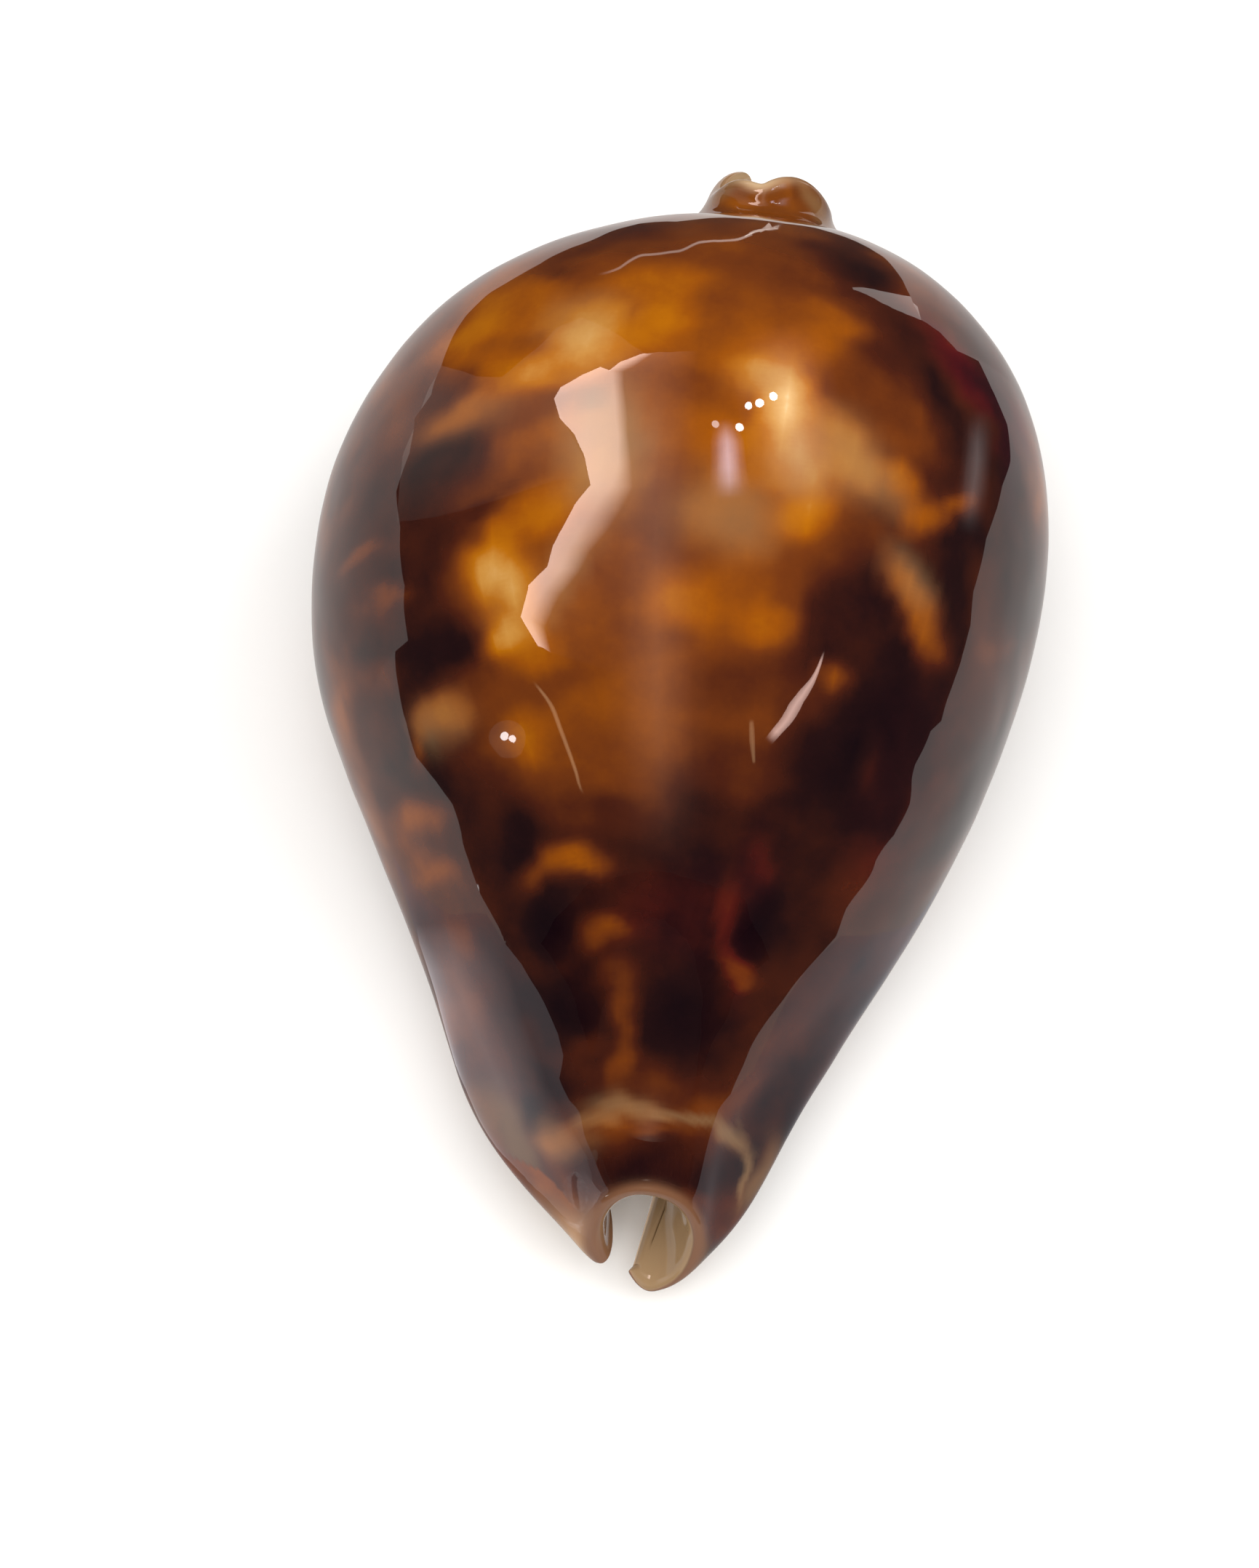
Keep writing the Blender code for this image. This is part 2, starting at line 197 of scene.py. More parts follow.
def shell_faces():
    """The loft without teeth: its outer and inner face as grids of points in mm, and what lies where.

    The facts are grids too: each point's place along the rings and its distance from both lips.
    """
    place = loft_places()
    turn, around, from_outer, from_inner = around_rings(place)
    walk = between_rings(SLIT_HALF, place) + from_outer
    angle = np.array([np.interp(w, a, t) for w, a, t in zip(walk, around, turn)])

    # Both lips turn up into the slit, and their ends are rounded off at the two rims.
    rise = between_rings(LIP_RISE, place) * (np.clip(1 - from_outer / LIP_WIDTH, 0, 1) ** 2.3
                                             + np.clip(1 - from_inner / LIP_WIDTH, 0, 1) ** 2.3)
    at_front = smooth_step(1 - place / 0.9)
    at_rear = smooth_step(1 - (len(ALONG) - 1 - place) / 0.9)
    outer_corner = np.clip(1 - from_outer / 2.2, 0, 1) ** 2
    inner_corner = np.clip(1 - from_inner / 2.4, 0, 1) ** 2
    trim = at_front * (0.2 * outer_corner + 1.3 * inner_corner) \
        - at_rear * 1.2 * (outer_corner + inner_corner)

    def place_points(flange):
        x, z = ring_outline(place, angle, flange)
        points = lean_back(place, angle, x, z + rise)
        points[..., 1] += trim
        return points

    # The wall's inner face lies under the flangeless rings by the wall's thickness.
    outer, core = place_points(True), place_points(False)
    s = np.sin(angle)
    side = between_rings(WALL_SIDE, place)
    wall = side + smooth_step(s) * (between_rings(WALL_TOP, place) - side) \
        + smooth_step(-s) * (between_rings(WALL_BASE, place) - side)
    out = unit(np.cross(np.gradient(core, axis=0), np.gradient(core, axis=1)))
    out *= np.sign(out[ROWS // 2, COLUMNS // 2, 2])
    inner = core - wall[..., None] * out

    # Lips and rims are rounded: the two faces meet along the loft's four edges.
    length = np.linalg.norm(np.diff(outer, axis=0), axis=-1)
    row_walk = np.concatenate([np.zeros((1, COLUMNS)), np.cumsum(length, axis=0)], axis=0)
    to_rim = np.minimum(row_walk, row_walk[-1:] - row_walk)
    to_lip = np.minimum(from_outer, from_inner)
    half_wall = np.linalg.norm(outer - inner, axis=-1) / 2
    near_edge = np.maximum(1 - to_rim / np.minimum(half_wall, 1.1),
                           1 - to_lip / (between_rings(WALL_BASE, place) / 2))
    fullness = np.sqrt(1 - np.clip(near_edge, 0, 1) ** 2)[..., None]
    middle, half = (outer + inner) / 2, (outer - inner) / 2
    outer, inner = middle + fullness * half, middle - fullness * half

    for face in (outer, inner):
        face -= (CENTRE_X, CENTRE_Y, REST_DEPTH)
    outer[..., 2] = np.maximum(outer[..., 2], 0.0)
    facts = {"along": between_rings(ALONG, place) + 0 * from_outer, "from_outer_lip": from_outer,
             "from_inner_lip": from_inner, "from_front": row_walk, "from_rear": row_walk[-1:] - row_walk,
             "turn": angle, "fullness": fullness[..., 0]}
    return outer, inner, facts


def with_inside(outer_values, inner_values):
    """One list of point values in the mesh's order: the outer grid, then the inner grid's middle."""
    columns = outer_values.shape[2:]
    return np.concatenate([outer_values.reshape(-1, *columns),
                           inner_values[1:-1, 1:-1].reshape(-1, *columns)])


def shell_mesh(outer, inner):
    """The closed mesh: both grids of points, sharing the points along their four edges."""
    points = with_inside(outer, inner) * MM
    outer_id = np.arange(ROWS * COLUMNS).reshape(ROWS, COLUMNS)
    inner_id = outer_id.copy()
    inner_id[1:-1, 1:-1] = ROWS * COLUMNS + np.arange((ROWS - 2) * (COLUMNS - 2)).reshape(ROWS - 2, -1)
    faces = []
    for ids in (outer_id, inner_id[:, ::-1]):
        quads = np.stack([ids[:-1, :-1], ids[:-1, 1:], ids[1:, 1:], ids[1:, :-1]], axis=-1)
        faces += quads.reshape(-1, 4).tolist()
    mesh = bpy.data.meshes.new("shell_enamel")
    mesh.from_pydata(points.tolist(), [], faces)
    mesh.shade_smooth()
    return mesh


def store(mesh, name, values):
    """Keeps one number or one vector for each point of the mesh, under a name."""
    values = np.asarray(values, np.float32)
    if values.ndim == 2:
        mesh.attributes.new(name, "FLOAT_VECTOR", "POINT").data.foreach_set("vector", values.ravel())
    else:
        mesh.attributes.new(name, "FLOAT", "POINT").data.foreach_set("value", values)


def add_node(tree, kind, values=None, **settings):
    """Adds a node with its settings; each of values is a socket's own value or the output that feeds it."""
    node = tree.nodes.new(kind)
    for name, value in settings.items():
        setattr(node, name, value)
    for socket, value in (values or {}).items():
        if isinstance(value, bpy.types.NodeSocket):
            tree.links.new(value, node.inputs[socket])
        else:
            node.inputs[socket].default_value = value
    return node


# Teeth and waves

def teeth_and_waves():
    """Geometry nodes: teeth across both lips, repeated along the slit, and low waves all over the back."""
    tree = bpy.data.node_groups.new("teeth_and_waves", "GeometryNodeTree")
    sockets = tree.interface
    sockets.new_socket("Shell", in_out="INPUT", socket_type="NodeSocketGeometry")
    for name, value in (("Outer Teeth", OUTER_TEETH), ("Inner Teeth", INNER_TEETH),
                        ("Tooth Height", TOOTH_HEIGHT * MM), ("Tooth Reach", TOOTH_REACH * MM),
                        ("Tooth Length", TOOTH_LENGTH), ("Wave Height", WAVE_HEIGHT * MM),
                        ("Wave Length", WAVE_LENGTH * MM), ("Ripple Height", RIPPLE_HEIGHT * MM),
                        ("Ripple Length", RIPPLE_LENGTH * MM)):
        sockets.new_socket(name, in_out="INPUT", socket_type="NodeSocketFloat").default_value = value
    sockets.new_socket("Enamel", in_out="INPUT", socket_type="NodeSocketMaterial")
    sockets.new_socket("Shell", in_out="OUTPUT", socket_type="NodeSocketGeometry")
    given = add_node(tree, "NodeGroupInput").outputs

    def math_node(operation, a, b=0.0, c=0.0):
        return add_node(tree, "ShaderNodeMath", {0: a, 1: b, 2: c}, operation=operation).outputs[0]

    def stored(name, kind="FLOAT"):
        return add_node(tree, "GeometryNodeInputNamedAttribute", {"Name": name}, data_type=kind).outputs[0]

    def scaled(vector, scale):
        return add_node(tree, "ShaderNodeVectorMath", {0: vector, "Scale": scale},
                        operation="SCALE").outputs[0]

    def plus(a, b):
        return add_node(tree, "ShaderNodeVectorMath", {0: a, 1: b}, operation="ADD").outputs[0]

    def fade(value, low, high):
        return add_node(tree, "ShaderNodeMapRange", {"Value": value, "From Min": low, "From Max": high},
                        interpolation_type="SMOOTHSTEP").outputs[0]

    def row_of_teeth(count, distance, first, last):
        """Height of one lip's teeth: a wave along the slit that fades out from the lip and at both ends."""
        along = stored("along")
        turns = math_node("MULTIPLY", math_node("SUBTRACT", along, first), 2 * math.pi / (last - first))
        wave = math_node("COSINE", math_node("MULTIPLY", turns, count))
        crest = math_node("POWER", math_node("MULTIPLY_ADD", wave, -0.5, 0.5), 1.4)
        ends = math_node("MULTIPLY", fade(along, first, first + 3), fade(along, last, last - 3))
        away = math_node("POWER", math_node("DIVIDE", distance, given["Tooth Length"]), 2.0)
        near_lip = math_node("EXPONENT", math_node("MULTIPLY", away, -1.6))
        return math_node("MULTIPLY", math_node("MULTIPLY", crest, ends), near_lip)

    outer_teeth = row_of_teeth(given["Outer Teeth"], stored("from_outer_lip"), -32.5, 37.0)
    weaker = math_node("MULTIPLY_ADD", fade(stored("along"), 4.0, -10.0), 0.65, 0.35)
    inner_teeth = math_node("MULTIPLY", weaker,
                            row_of_teeth(given["Inner Teeth"], stored("from_inner_lip"), -31.5, 31.0))
    teeth = math_node("MULTIPLY", math_node("ADD", outer_teeth, inner_teeth), stored("outside"))

    def waves(height, length):
        scale = math_node("DIVIDE", 1.0, length)
        field = add_node(tree, "ShaderNodeTexNoise",
                         {"Vector": add_node(tree, "GeometryNodeInputPosition").outputs[0], "Scale": scale,
                          "Detail": 0.0, "Roughness": 0.45})
        return math_node("MULTIPLY", math_node("MULTIPLY_ADD", field.outputs[0], 2.0, -1.0), height)

    low = math_node("ADD", waves(given["Wave Height"], given["Wave Length"]),
                    waves(given["Ripple Height"], given["Ripple Length"]))
    outward = math_node("ADD", math_node("MULTIPLY", teeth, given["Tooth Height"]),
                        math_node("MULTIPLY", low, stored("wavy")))
    shift = plus(scaled(stored("outward", "FLOAT_VECTOR"), outward),
                 scaled(stored("slitward", "FLOAT_VECTOR"),
                        math_node("MULTIPLY", teeth, given["Tooth Reach"])))
    moved = add_node(tree, "GeometryNodeSetPosition", {"Geometry": given["Shell"], "Offset": shift})
    real = add_node(tree, "GeometryNodeRealizeInstances", {"Geometry": moved.outputs[0]})
    made = add_node(tree, "GeometryNodeSetMaterial",
                    {"Geometry": real.outputs[0], "Material": given["Enamel"]})
    add_node(tree, "NodeGroupOutput", {0: made.outputs[0]})
    return tree


# The photo's camera, and what the polished surface mirrors to it

def camera_axes():
    """The camera's right, up and backward directions, rolled as the photo is."""
    back = np.array([0, -math.sin(CAMERA_TILT), math.cos(CAMERA_TILT)])
    up = np.array([0, math.cos(CAMERA_TILT), math.sin(CAMERA_TILT)])
    right = np.cross(up, back)
    up = up * math.cos(CAMERA_ROLL) - right * math.sin(CAMERA_ROLL)
    return np.cross(up, back), up, back


def photo_pixels(points):
    """Where the photo shows each point, in its pixels."""
    right, up, back = camera_axes()
    q = points - LOOK_AT
    scale = PIXELS_PER_MM * CAMERA_DISTANCE / (CAMERA_DISTANCE - q @ back)
    return PHOTO_CENTRE[0] + q @ right * scale, PHOTO_CENTRE[1] - q @ up * scale


NEIGHBOURS = 12            # points that a pixel's place and normal are worked out from
FAR_OFF = 1e9              # added to a hidden point's squared distance, so that it is never one of them
GRAZING = 0.02             # the least cosine at which a face or a plane still counts as met
SLIT_SIDE = 9.0            # how near to a lip, and how low, the outer face is out of sight, in mm
FARTHEST = 180.0           # how far away the mirrored ground may end, in mm


class Seen:
    """The outer face as the photo's camera sees it, and what it mirrors there."""

    def __init__(self, points, normals, to_lip):
        self.points, self.normals = points.reshape(-1, 3), normals.reshape(-1, 3)
        self.eye = LOOK_AT + CAMERA_DISTANCE * camera_axes()[2]
        self.to_eye = unit(self.eye - self.points)
        self.facing = (self.normals * self.to_eye).sum(-1)
        self.x, self.y = photo_pixels(self.points)
        at_slit = (to_lip.ravel() < SLIT_SIDE) & (self.points[:, 2] < SLIT_SIDE)
        self.hidden = (self.facing < GRAZING) | at_slit

    def mirrored_ray(self, x, y):
        """Where the surface lies at a pixel, and the direction that it mirrors there."""
        apart = (self.x - x) ** 2 + (self.y - y) ** 2 + FAR_OFF * self.hidden
        near = np.argpartition(apart, NEIGHBOURS)[:NEIGHBOURS]
        about = np.stack([np.ones(NEIGHBOURS), self.x[near] - x, self.y[near] - y], axis=-1)
        both = np.concatenate([self.points[near], self.normals[near]], axis=1)
        here = np.linalg.lstsq(about, both, rcond=None)[0][0]
        point, normal = here[:3], unit(here[3:])
        to_eye = unit(self.eye - point)
        return point, 2 * (normal @ to_eye) * normal - to_eye

    def mirrored(self, x, y, distance):
        """The point in space, at a distance, that the surface mirrors at a pixel."""
        point, direction = self.mirrored_ray(x, y)
        return point + direction * distance

    def mirrored_on(self, x, y, normal, away):
        """The point that the surface mirrors at a pixel, on a plane given by its normal and distance."""
        point, direction = self.mirrored_ray(x, y)
        approach = direction @ normal
        reach = (away - point @ normal) / approach if approach > GRAZING else FARTHEST
        return point + direction * min(reach, FARTHEST)


# Pattern of the enamel: soft patches laid over one another, as the photo shows them. Each is the
# pixel of its middle, its half length and half width in pixels, its turn in degrees anticlockwise,
# and its tone from 0, nearly black, to 1, cream.
GROUNDS = [
    (900, 560, 430, 300, 0, 0.55), (940, 1290, 330, 190, 0, 0.16), (1330, 700, 300, 60, 80, 0.20),
    (570, 760, 260, 60, 85, 0.24), (1220, 980, 240, 110, 75, 0.12), (640, 1080, 240, 70, -65, 0.16),
    (860, 900, 170, 190, 0, 0.50),
]
PATCHES = [
    # the rear spout
    (1030, 272, 70, 30, 0, 0.58), (1020, 280, 24, 10, -10, 0.72), (1066, 270, 24, 16, 0, 0.54),
    (1096, 270, 10, 24, 15, 0.36),
    # across the top
    (930, 345, 250, 60, 0, 0.44), (860, 322, 85, 12, 5, 0.35), (820, 357, 60, 22, 20, 0.46),
    (771, 372, 30, 12, 20, 0.36), (665, 440, 75, 34, 40, 0.68), (730, 415, 40, 30, 40, 0.55),
    (680, 492, 40, 28, 50, 0.50), (742, 471, 28, 16, 25, 0.42), (755, 505, 50, 28, 20, 0.72),
    (826, 460, 52, 34, 10, 0.86), (890, 450, 60, 30, 10, 0.70), (905, 390, 60, 24, 5, 0.64),
    (955, 400, 45, 25, 0, 0.58), (1018, 406, 45, 25, -5, 0.47), (1098, 424, 60, 25, -8, 0.52),
    (989, 485, 80, 30, 0, 0.57), (1127, 470, 55, 30, -10, 0.56), (1170, 445, 40, 16, -25, 0.62),
    (1140, 350, 50, 20, -15, 0.28), (1189, 370, 50, 30, -25, 0.12), (1245, 455, 45, 22, -40, 0.22),
    (1291, 504, 40, 20, -50, 0.22), (1295, 550, 90, 22, -58, 0.08), (1345, 530, 100, 16, -52, 0.17),
    (1378, 620, 60, 14, -80, 0.16), (1200, 490, 40, 35, -40, 0.36), (1245, 560, 60, 30, -60, 0.40),
    (1180, 550, 50, 50, 0, 0.37), (1225, 500, 40, 36, 0, 0.27),
    # both shoulders
    (625, 536, 32, 22, 30, 0.30), (650, 575, 60, 24, 15, 0.63), (723, 569, 55, 28, 10, 0.42),
    (608, 642, 65, 24, 25, 0.12), (725, 620, 50, 22, 10, 0.56), (668, 692, 65, 14, 20, 0.28),
    (600, 735, 50, 30, 10, 0.22), (742, 705, 50, 35, 20, 0.68), (697, 735, 30, 14, 90, 0.64),
    (825, 605, 90, 46, 90, 0.64), (775, 780, 80, 24, 60, 0.56), (812, 546, 24, 22, 0, 0.34),
    (905, 610, 90, 45, 90, 0.50), (905, 715, 60, 40, 90, 0.41), (1010, 630, 50, 50, 0, 0.60),
    # The first two patches on the next line, cream beside the small lamps, are partly real cream and partly
    # painted highlight.
    (1060, 512, 34, 22, 0, 0.80), (1088, 560, 28, 40, 0, 0.95), (1108, 625, 40, 50, 20, 0.83),
    (1152, 622, 34, 30, -40, 0.60), (1084, 655, 35, 25, 0, 0.75), (1180, 645, 60, 26, -50, 0.74),
    (1240, 668, 30, 20, -50, 0.70), (1025, 715, 70, 40, 0, 0.59), (1105, 705, 40, 36, 0, 0.71),
    (1265, 715, 28, 28, 0, 0.64), (1172, 752, 34, 32, 0, 0.44), (1309, 697, 25, 20, 0, 0.58),
    (1327, 755, 30, 28, 0, 0.08), (1316, 800, 60, 18, 85, 0.10), (1309, 885, 40, 15, 85, 0.12),
    # middle
    (565, 790, 60, 24, 90, 0.20), (622, 800, 50, 18, 90, 0.40), (680, 802, 58, 40, 90, 0.93),
    (700, 875, 36, 36, 0, 0.86), (668, 840, 26, 14, 90, 0.62), (612, 890, 45, 30, -15, 0.08),
    (752, 900, 30, 34, 0, 0.60), (788, 935, 30, 22, 0, 0.42), (815, 840, 90, 36, 90, 0.46),
    (870, 830, 40, 50, 0, 0.44), (955, 828, 55, 36, 0, 0.64), (1062, 860, 40, 35, 0, 0.64),
    (1062, 780, 36, 40, 0, 0.42), (985, 945, 80, 36, 0, 0.33), (600, 990, 36, 36, 0, 0.66),
    (576, 1025, 36, 18, 90, 0.60), (600, 1050, 36, 22, 90, 0.16), (1149, 842, 34, 34, 0, 0.20),
    (1189, 920, 60, 34, 90, 0.20), (1245, 815, 50, 20, -65, 0.67), (1268, 855, 40, 24, -70, 0.60),
    (1145, 933, 24, 22, 0, 0.56), (1070, 950, 45, 30, 0, 0.34), (903, 990, 80, 34, 90, 0.54),
    (908, 1110, 30, 14, 90, 0.52), (820, 1000, 60, 50, 90, 0.50), (710, 1160, 55, 30, 80, 0.05),
    (785, 1195, 66, 22, 12, 0.66), (862, 1070, 40, 50, 0, 0.52), (836, 1114, 40, 25, 0, 0.30),
    (950, 1150, 90, 60, 0, 0.21), (1000, 1060, 50, 30, 0, 0.32), (1140, 1049, 70, 50, 90, 0.10),
    (1190, 1065, 70, 45, 70, 0.0), (1080, 1110, 40, 30, 0, 0.16), (1258, 984, 40, 20, 90, 0.07),
    (1229, 1104, 45, 18, 80, 0.07), (1040, 1215, 45, 20, 80, 0.36), (1200, 1050, 50, 20, 90, 0.20),
    # lower third
    (752, 1270, 55, 24, 90, 0.05), (780, 1385, 45, 34, 90, 0.04), (824, 1288, 30, 20, 0, 0.54),
    (845, 1340, 22, 22, 0, 0.40), (855, 1400, 50, 17, 90, 0.55), (848, 1470, 35, 18, 90, 0.52),
    (805, 1445, 25, 22, 0, 0.34), (943, 1257, 60, 40, 0, 0.20), (1000, 1215, 36, 36, 0, 0.19),
    (950, 1415, 78, 72, 0, 0.02), (1004, 1265, 50, 14, 90, 0.38), (1011, 1326, 34, 16, -35, 0.50),
    (1054, 1255, 45, 22, 75, 0.06), (900, 1490, 40, 16, 0, 0.30),
    # the front spout: a pale band across its root, amber below it, then a dark roof
    (905, 1604, 110, 48, 0, 0.11), (880, 1546, 56, 8, -9, 0.44), (822, 1530, 34, 14, 22, 0.52),
    (858, 1519, 40, 12, 0, 0.50), (908, 1527, 40, 10, -15, 0.48), (958, 1536, 40, 7, -19, 0.36),
    (1001, 1560, 24, 9, -42, 0.44), (1018, 1608, 44, 6, 88, 0.42), (922, 1648, 64, 12, -8, 0.34),
    # margins, under the grey reflection of the ground
    (500, 700, 120, 34, 80, 0.14), (505, 765, 36, 11, 25, 0.42), (531, 828, 30, 14, 20, 0.46),
    (524, 935, 25, 25, 0, 0.40), (580, 1125, 30, 26, 0, 0.56), (602, 1205, 24, 16, 0, 0.48),
    (521, 799, 50, 14, 20, 0.18), (537, 883, 50, 14, 20, 0.18), (640, 1290, 30, 20, -60, 0.40),
    (765, 1563, 36, 24, 0, 0.56), (660, 1430, 80, 20, -62, 0.34), (710, 1460, 70, 18, -60, 0.24),
    (1395, 800, 120, 36, 88, 0.06), (1370, 900, 25, 14, 0, 0.32), (1345, 1010, 80, 30, 75, 0.18),
    (730, 1600, 40, 14, -50, 0.36), (1075, 1510, 70, 26, 60, 0.12), (1048, 1612, 50, 22, 62, 0.40),
    (696, 1560, 70, 16, -58, 0.30), (748, 1625, 50, 22, -52, 0.20), (1150, 1400, 70, 20, 60, 0.16),
    (1260, 1200, 90, 24, 65, 0.22),
]
# Where the enamel is reddish: middle, half length, half width, turn, and how much.
REDS = [
    (1346, 528, 100, 20, -50, 0.9), (1380, 620, 90, 14, -84, 1.0), (1033, 1215, 60, 30, 80, 0.35),
    (943, 1257, 90, 60, 0, 0.3), (1010, 1290, 70, 24, 90, 0.35), (1240, 1080, 140, 50, 75, 0.3),
]
# Where the enamel is a pale, dull fawn, in the same way: both sides of the rear spout, the dull blotches
# of the back, then the arch across the root of the front spout and the flanges beside it. On both sides of
# the rear spout and on the flanges, the fawn is painted reflection of the pale surroundings.
PALE_PATCHES_AND_REFLECTION = [
    (1124, 284, 12, 30, 35, 0.5), (985, 265, 12, 40, -40, 0.5), (1180, 645, 70, 32, -50, 0.45),
    (1110, 640, 45, 45, 0, 0.35), (1000, 700, 60, 50, 0, 0.35), (1065, 520, 36, 24, 0, 0.2),
    (800, 440, 50, 30, 10, 0.25), (1250, 800, 50, 22, -65, 0.3), (600, 1000, 34, 34, 0, 0.35),
    (825, 605, 90, 46, 90, 0.6), (775, 780, 80, 24, 60, 0.3), (690, 820, 50, 36, 90, 0.12),
    (640, 580, 60, 24, 15, 0.15), (822, 1528, 34, 14, 22, 0.35), (858, 1515, 42, 12, 0, 0.45),
    (908, 1525, 42, 9, -15, 0.45), (958, 1538, 42, 7, -19, 0.4), (1001, 1558, 26, 9, -42, 0.5),
    (1018, 1608, 46, 6, 88, 0.45), (763, 1564, 40, 26, 0, 0.3), (1046, 1618, 44, 20, 62, 0.35),
    (700, 1565, 70, 18, -58, 0.3),
]
PATCH_WAVE = 1.1           # how far a patch's edge wanders, in mm
MOTTLES = ((0.5, 11.0, 7), (0.3, 4.5, 8), (0.12, 1.8, 9))   # weight, size in mm and seed
BASE_TONE, MOTTLE_DEPTH = 0.34, 0.62
# The layers of patches, and how fully each covers what lies under it.
LAYERS = ((GROUNDS, 0.85), (PATCHES, 0.92))


def noise_at(points, size, seed):
    """A smooth random number from -1 to 1 at each point, with features of a size in mm."""
    shift = Vector((seed * 17.3, seed * 5.1, seed * 9.7))
    return np.array([noise.noise(Vector(p) / size + shift) for p in points])


def patch_weight(x, y, patch):
    """How strongly a patch covers each pixel: 1 at its middle, a half at its edge, then softly to 0."""
    middle_x, middle_y, long, wide, turn = patch[:5]
    c, s = math.cos(math.radians(turn)), math.sin(math.radians(turn))
    right, up = x - middle_x, middle_y - y
    away = ((right * c + up * s) / long) ** 2 + ((up * c - right * s) / wide) ** 2
    return np.exp(-0.69 * away ** 1.5)


def paint_pattern(seen):
    """Tone, redness and paleness of the mottling at each point of the outer face; the paleness is partly
    painted reflection.
    """
    points = seen.points
    wander = np.stack([noise_at(points, 5.0, seed) for seed in (1, 2, 3)], axis=-1)
    fine_wander = np.stack([noise_at(points, 1.6, seed) for seed in (4, 5, 6)], axis=-1)
    x, y = photo_pixels(points + PATCH_WAVE * wander + 0.3 * PATCH_WAVE * fine_wander)
    in_view = smooth_step((seen.facing + 0.12) / 0.24) * (1 - seen.hidden * (seen.facing > GRAZING))
    mottle = sum(weight * noise_at(points, size, seed) for weight, size, seed in MOTTLES)
    tone = BASE_TONE + MOTTLE_DEPTH * mottle
    for patches, blend in LAYERS:
        for patch in patches:
            weight = blend * in_view * patch_weight(x, y, patch)
            tone = tone + weight * (patch[5] - tone)
    red, pale = (np.max([in_view * patch[5] * patch_weight(x, y, patch) for patch in patches], axis=0)
                 for patches in (REDS, PALE_PATCHES_AND_REFLECTION))
    streaky = noise_at(points * (1, 1, 0.6), 3.2, 10)
    return tone + 0.16 * mottle + 0.06 * streaky, red, pale


def paint(mesh, seen, outer, facts):
    """Stores what the enamel's colour depends on."""
    shape = outer.shape[:2]
    tone, red, pale = (values.reshape(shape) for values in paint_pattern(seen))
    normals = seen.normals.reshape(outer.shape)
    height = outer[..., 2]
    under = smooth_step((-normals[..., 2] - 0.05) / 0.55) * smooth_step((11 - height) / 6)
    to_lip = np.minimum(facts["from_outer_lip"], facts["from_inner_lip"])
    lip = np.exp(-(to_lip / 4.0) ** 2)
    front_rim_and_shade = np.exp(-(facts["from_front"] / 0.75) ** 2)
    # Painted highlight: a cream line along the rear canal's rim, strongest at its notch.
    at_notch = bump(facts["turn"], 108, 28)
    rear_rim_highlight = np.exp(-(facts["from_rear"] / 0.45) ** 2) * (0.2 + 0.8 * at_notch)
    rear = smooth_step((5.5 - facts["from_rear"]) / 3.0) * (1 - 0.75 * smooth_step(height / 6 - 1))
    ones = np.ones(shape)
    store(mesh, "tone", with_inside(tone, 0.3 * ones))
    store(mesh, "red", with_inside(red, 0 * ones))
    store(mesh, "pale", with_inside(pale, 0 * ones))
    store(mesh, "under", with_inside(under, 0 * ones))
    store(mesh, "lip", with_inside(lip, lip))
    # Painted shade: the inside of the outer lip's front end is darkened to the rim's brown.
    left_lip_painted_shade = np.exp(-(facts["from_outer_lip"] / 7) ** 2 - (facts["from_front"] / 14) ** 2)
    store(mesh, "front_rim_and_shade", with_inside(front_rim_and_shade, left_lip_painted_shade))
    store(mesh, "rear_rim_highlight", with_inside(rear_rim_highlight, rear_rim_highlight))
    store(mesh, "rear", with_inside(rear, rear))
    store(mesh, "inside", with_inside(0 * ones, ones))


# Materials

def srgb(code):
    """A colour written as a hex number, turned from sRGB to linear."""
    parts = [int(code[i:i + 2], 16) / 255 for i in (1, 3, 5)]
    return tuple(c / 12.92 if c <= 0.04045 else ((c + 0.055) / 1.055) ** 2.4 for c in parts) + (1.0,)


def new_material(name):
    material = bpy.data.materials.new(name)
    material.use_nodes = True
    tree = material.node_tree
    tree.nodes.clear()
    output = add_node(tree, "ShaderNodeOutputMaterial")
    return material, tree, output


def ramp(tree, factor, stops):
    """A colour ramp through the given places and hex colours."""
    node = add_node(tree, "ShaderNodeValToRGB", {"Fac": factor})
    elements = node.color_ramp.elements
    elements[0].position, elements[0].color = stops[0][0], srgb(stops[0][1])
    elements[1].position, elements[1].color = stops[-1][0], srgb(stops[-1][1])
    for position, code in stops[1:-1]:
        elements.new(position).color = srgb(code)
    return node.outputs["Color"]


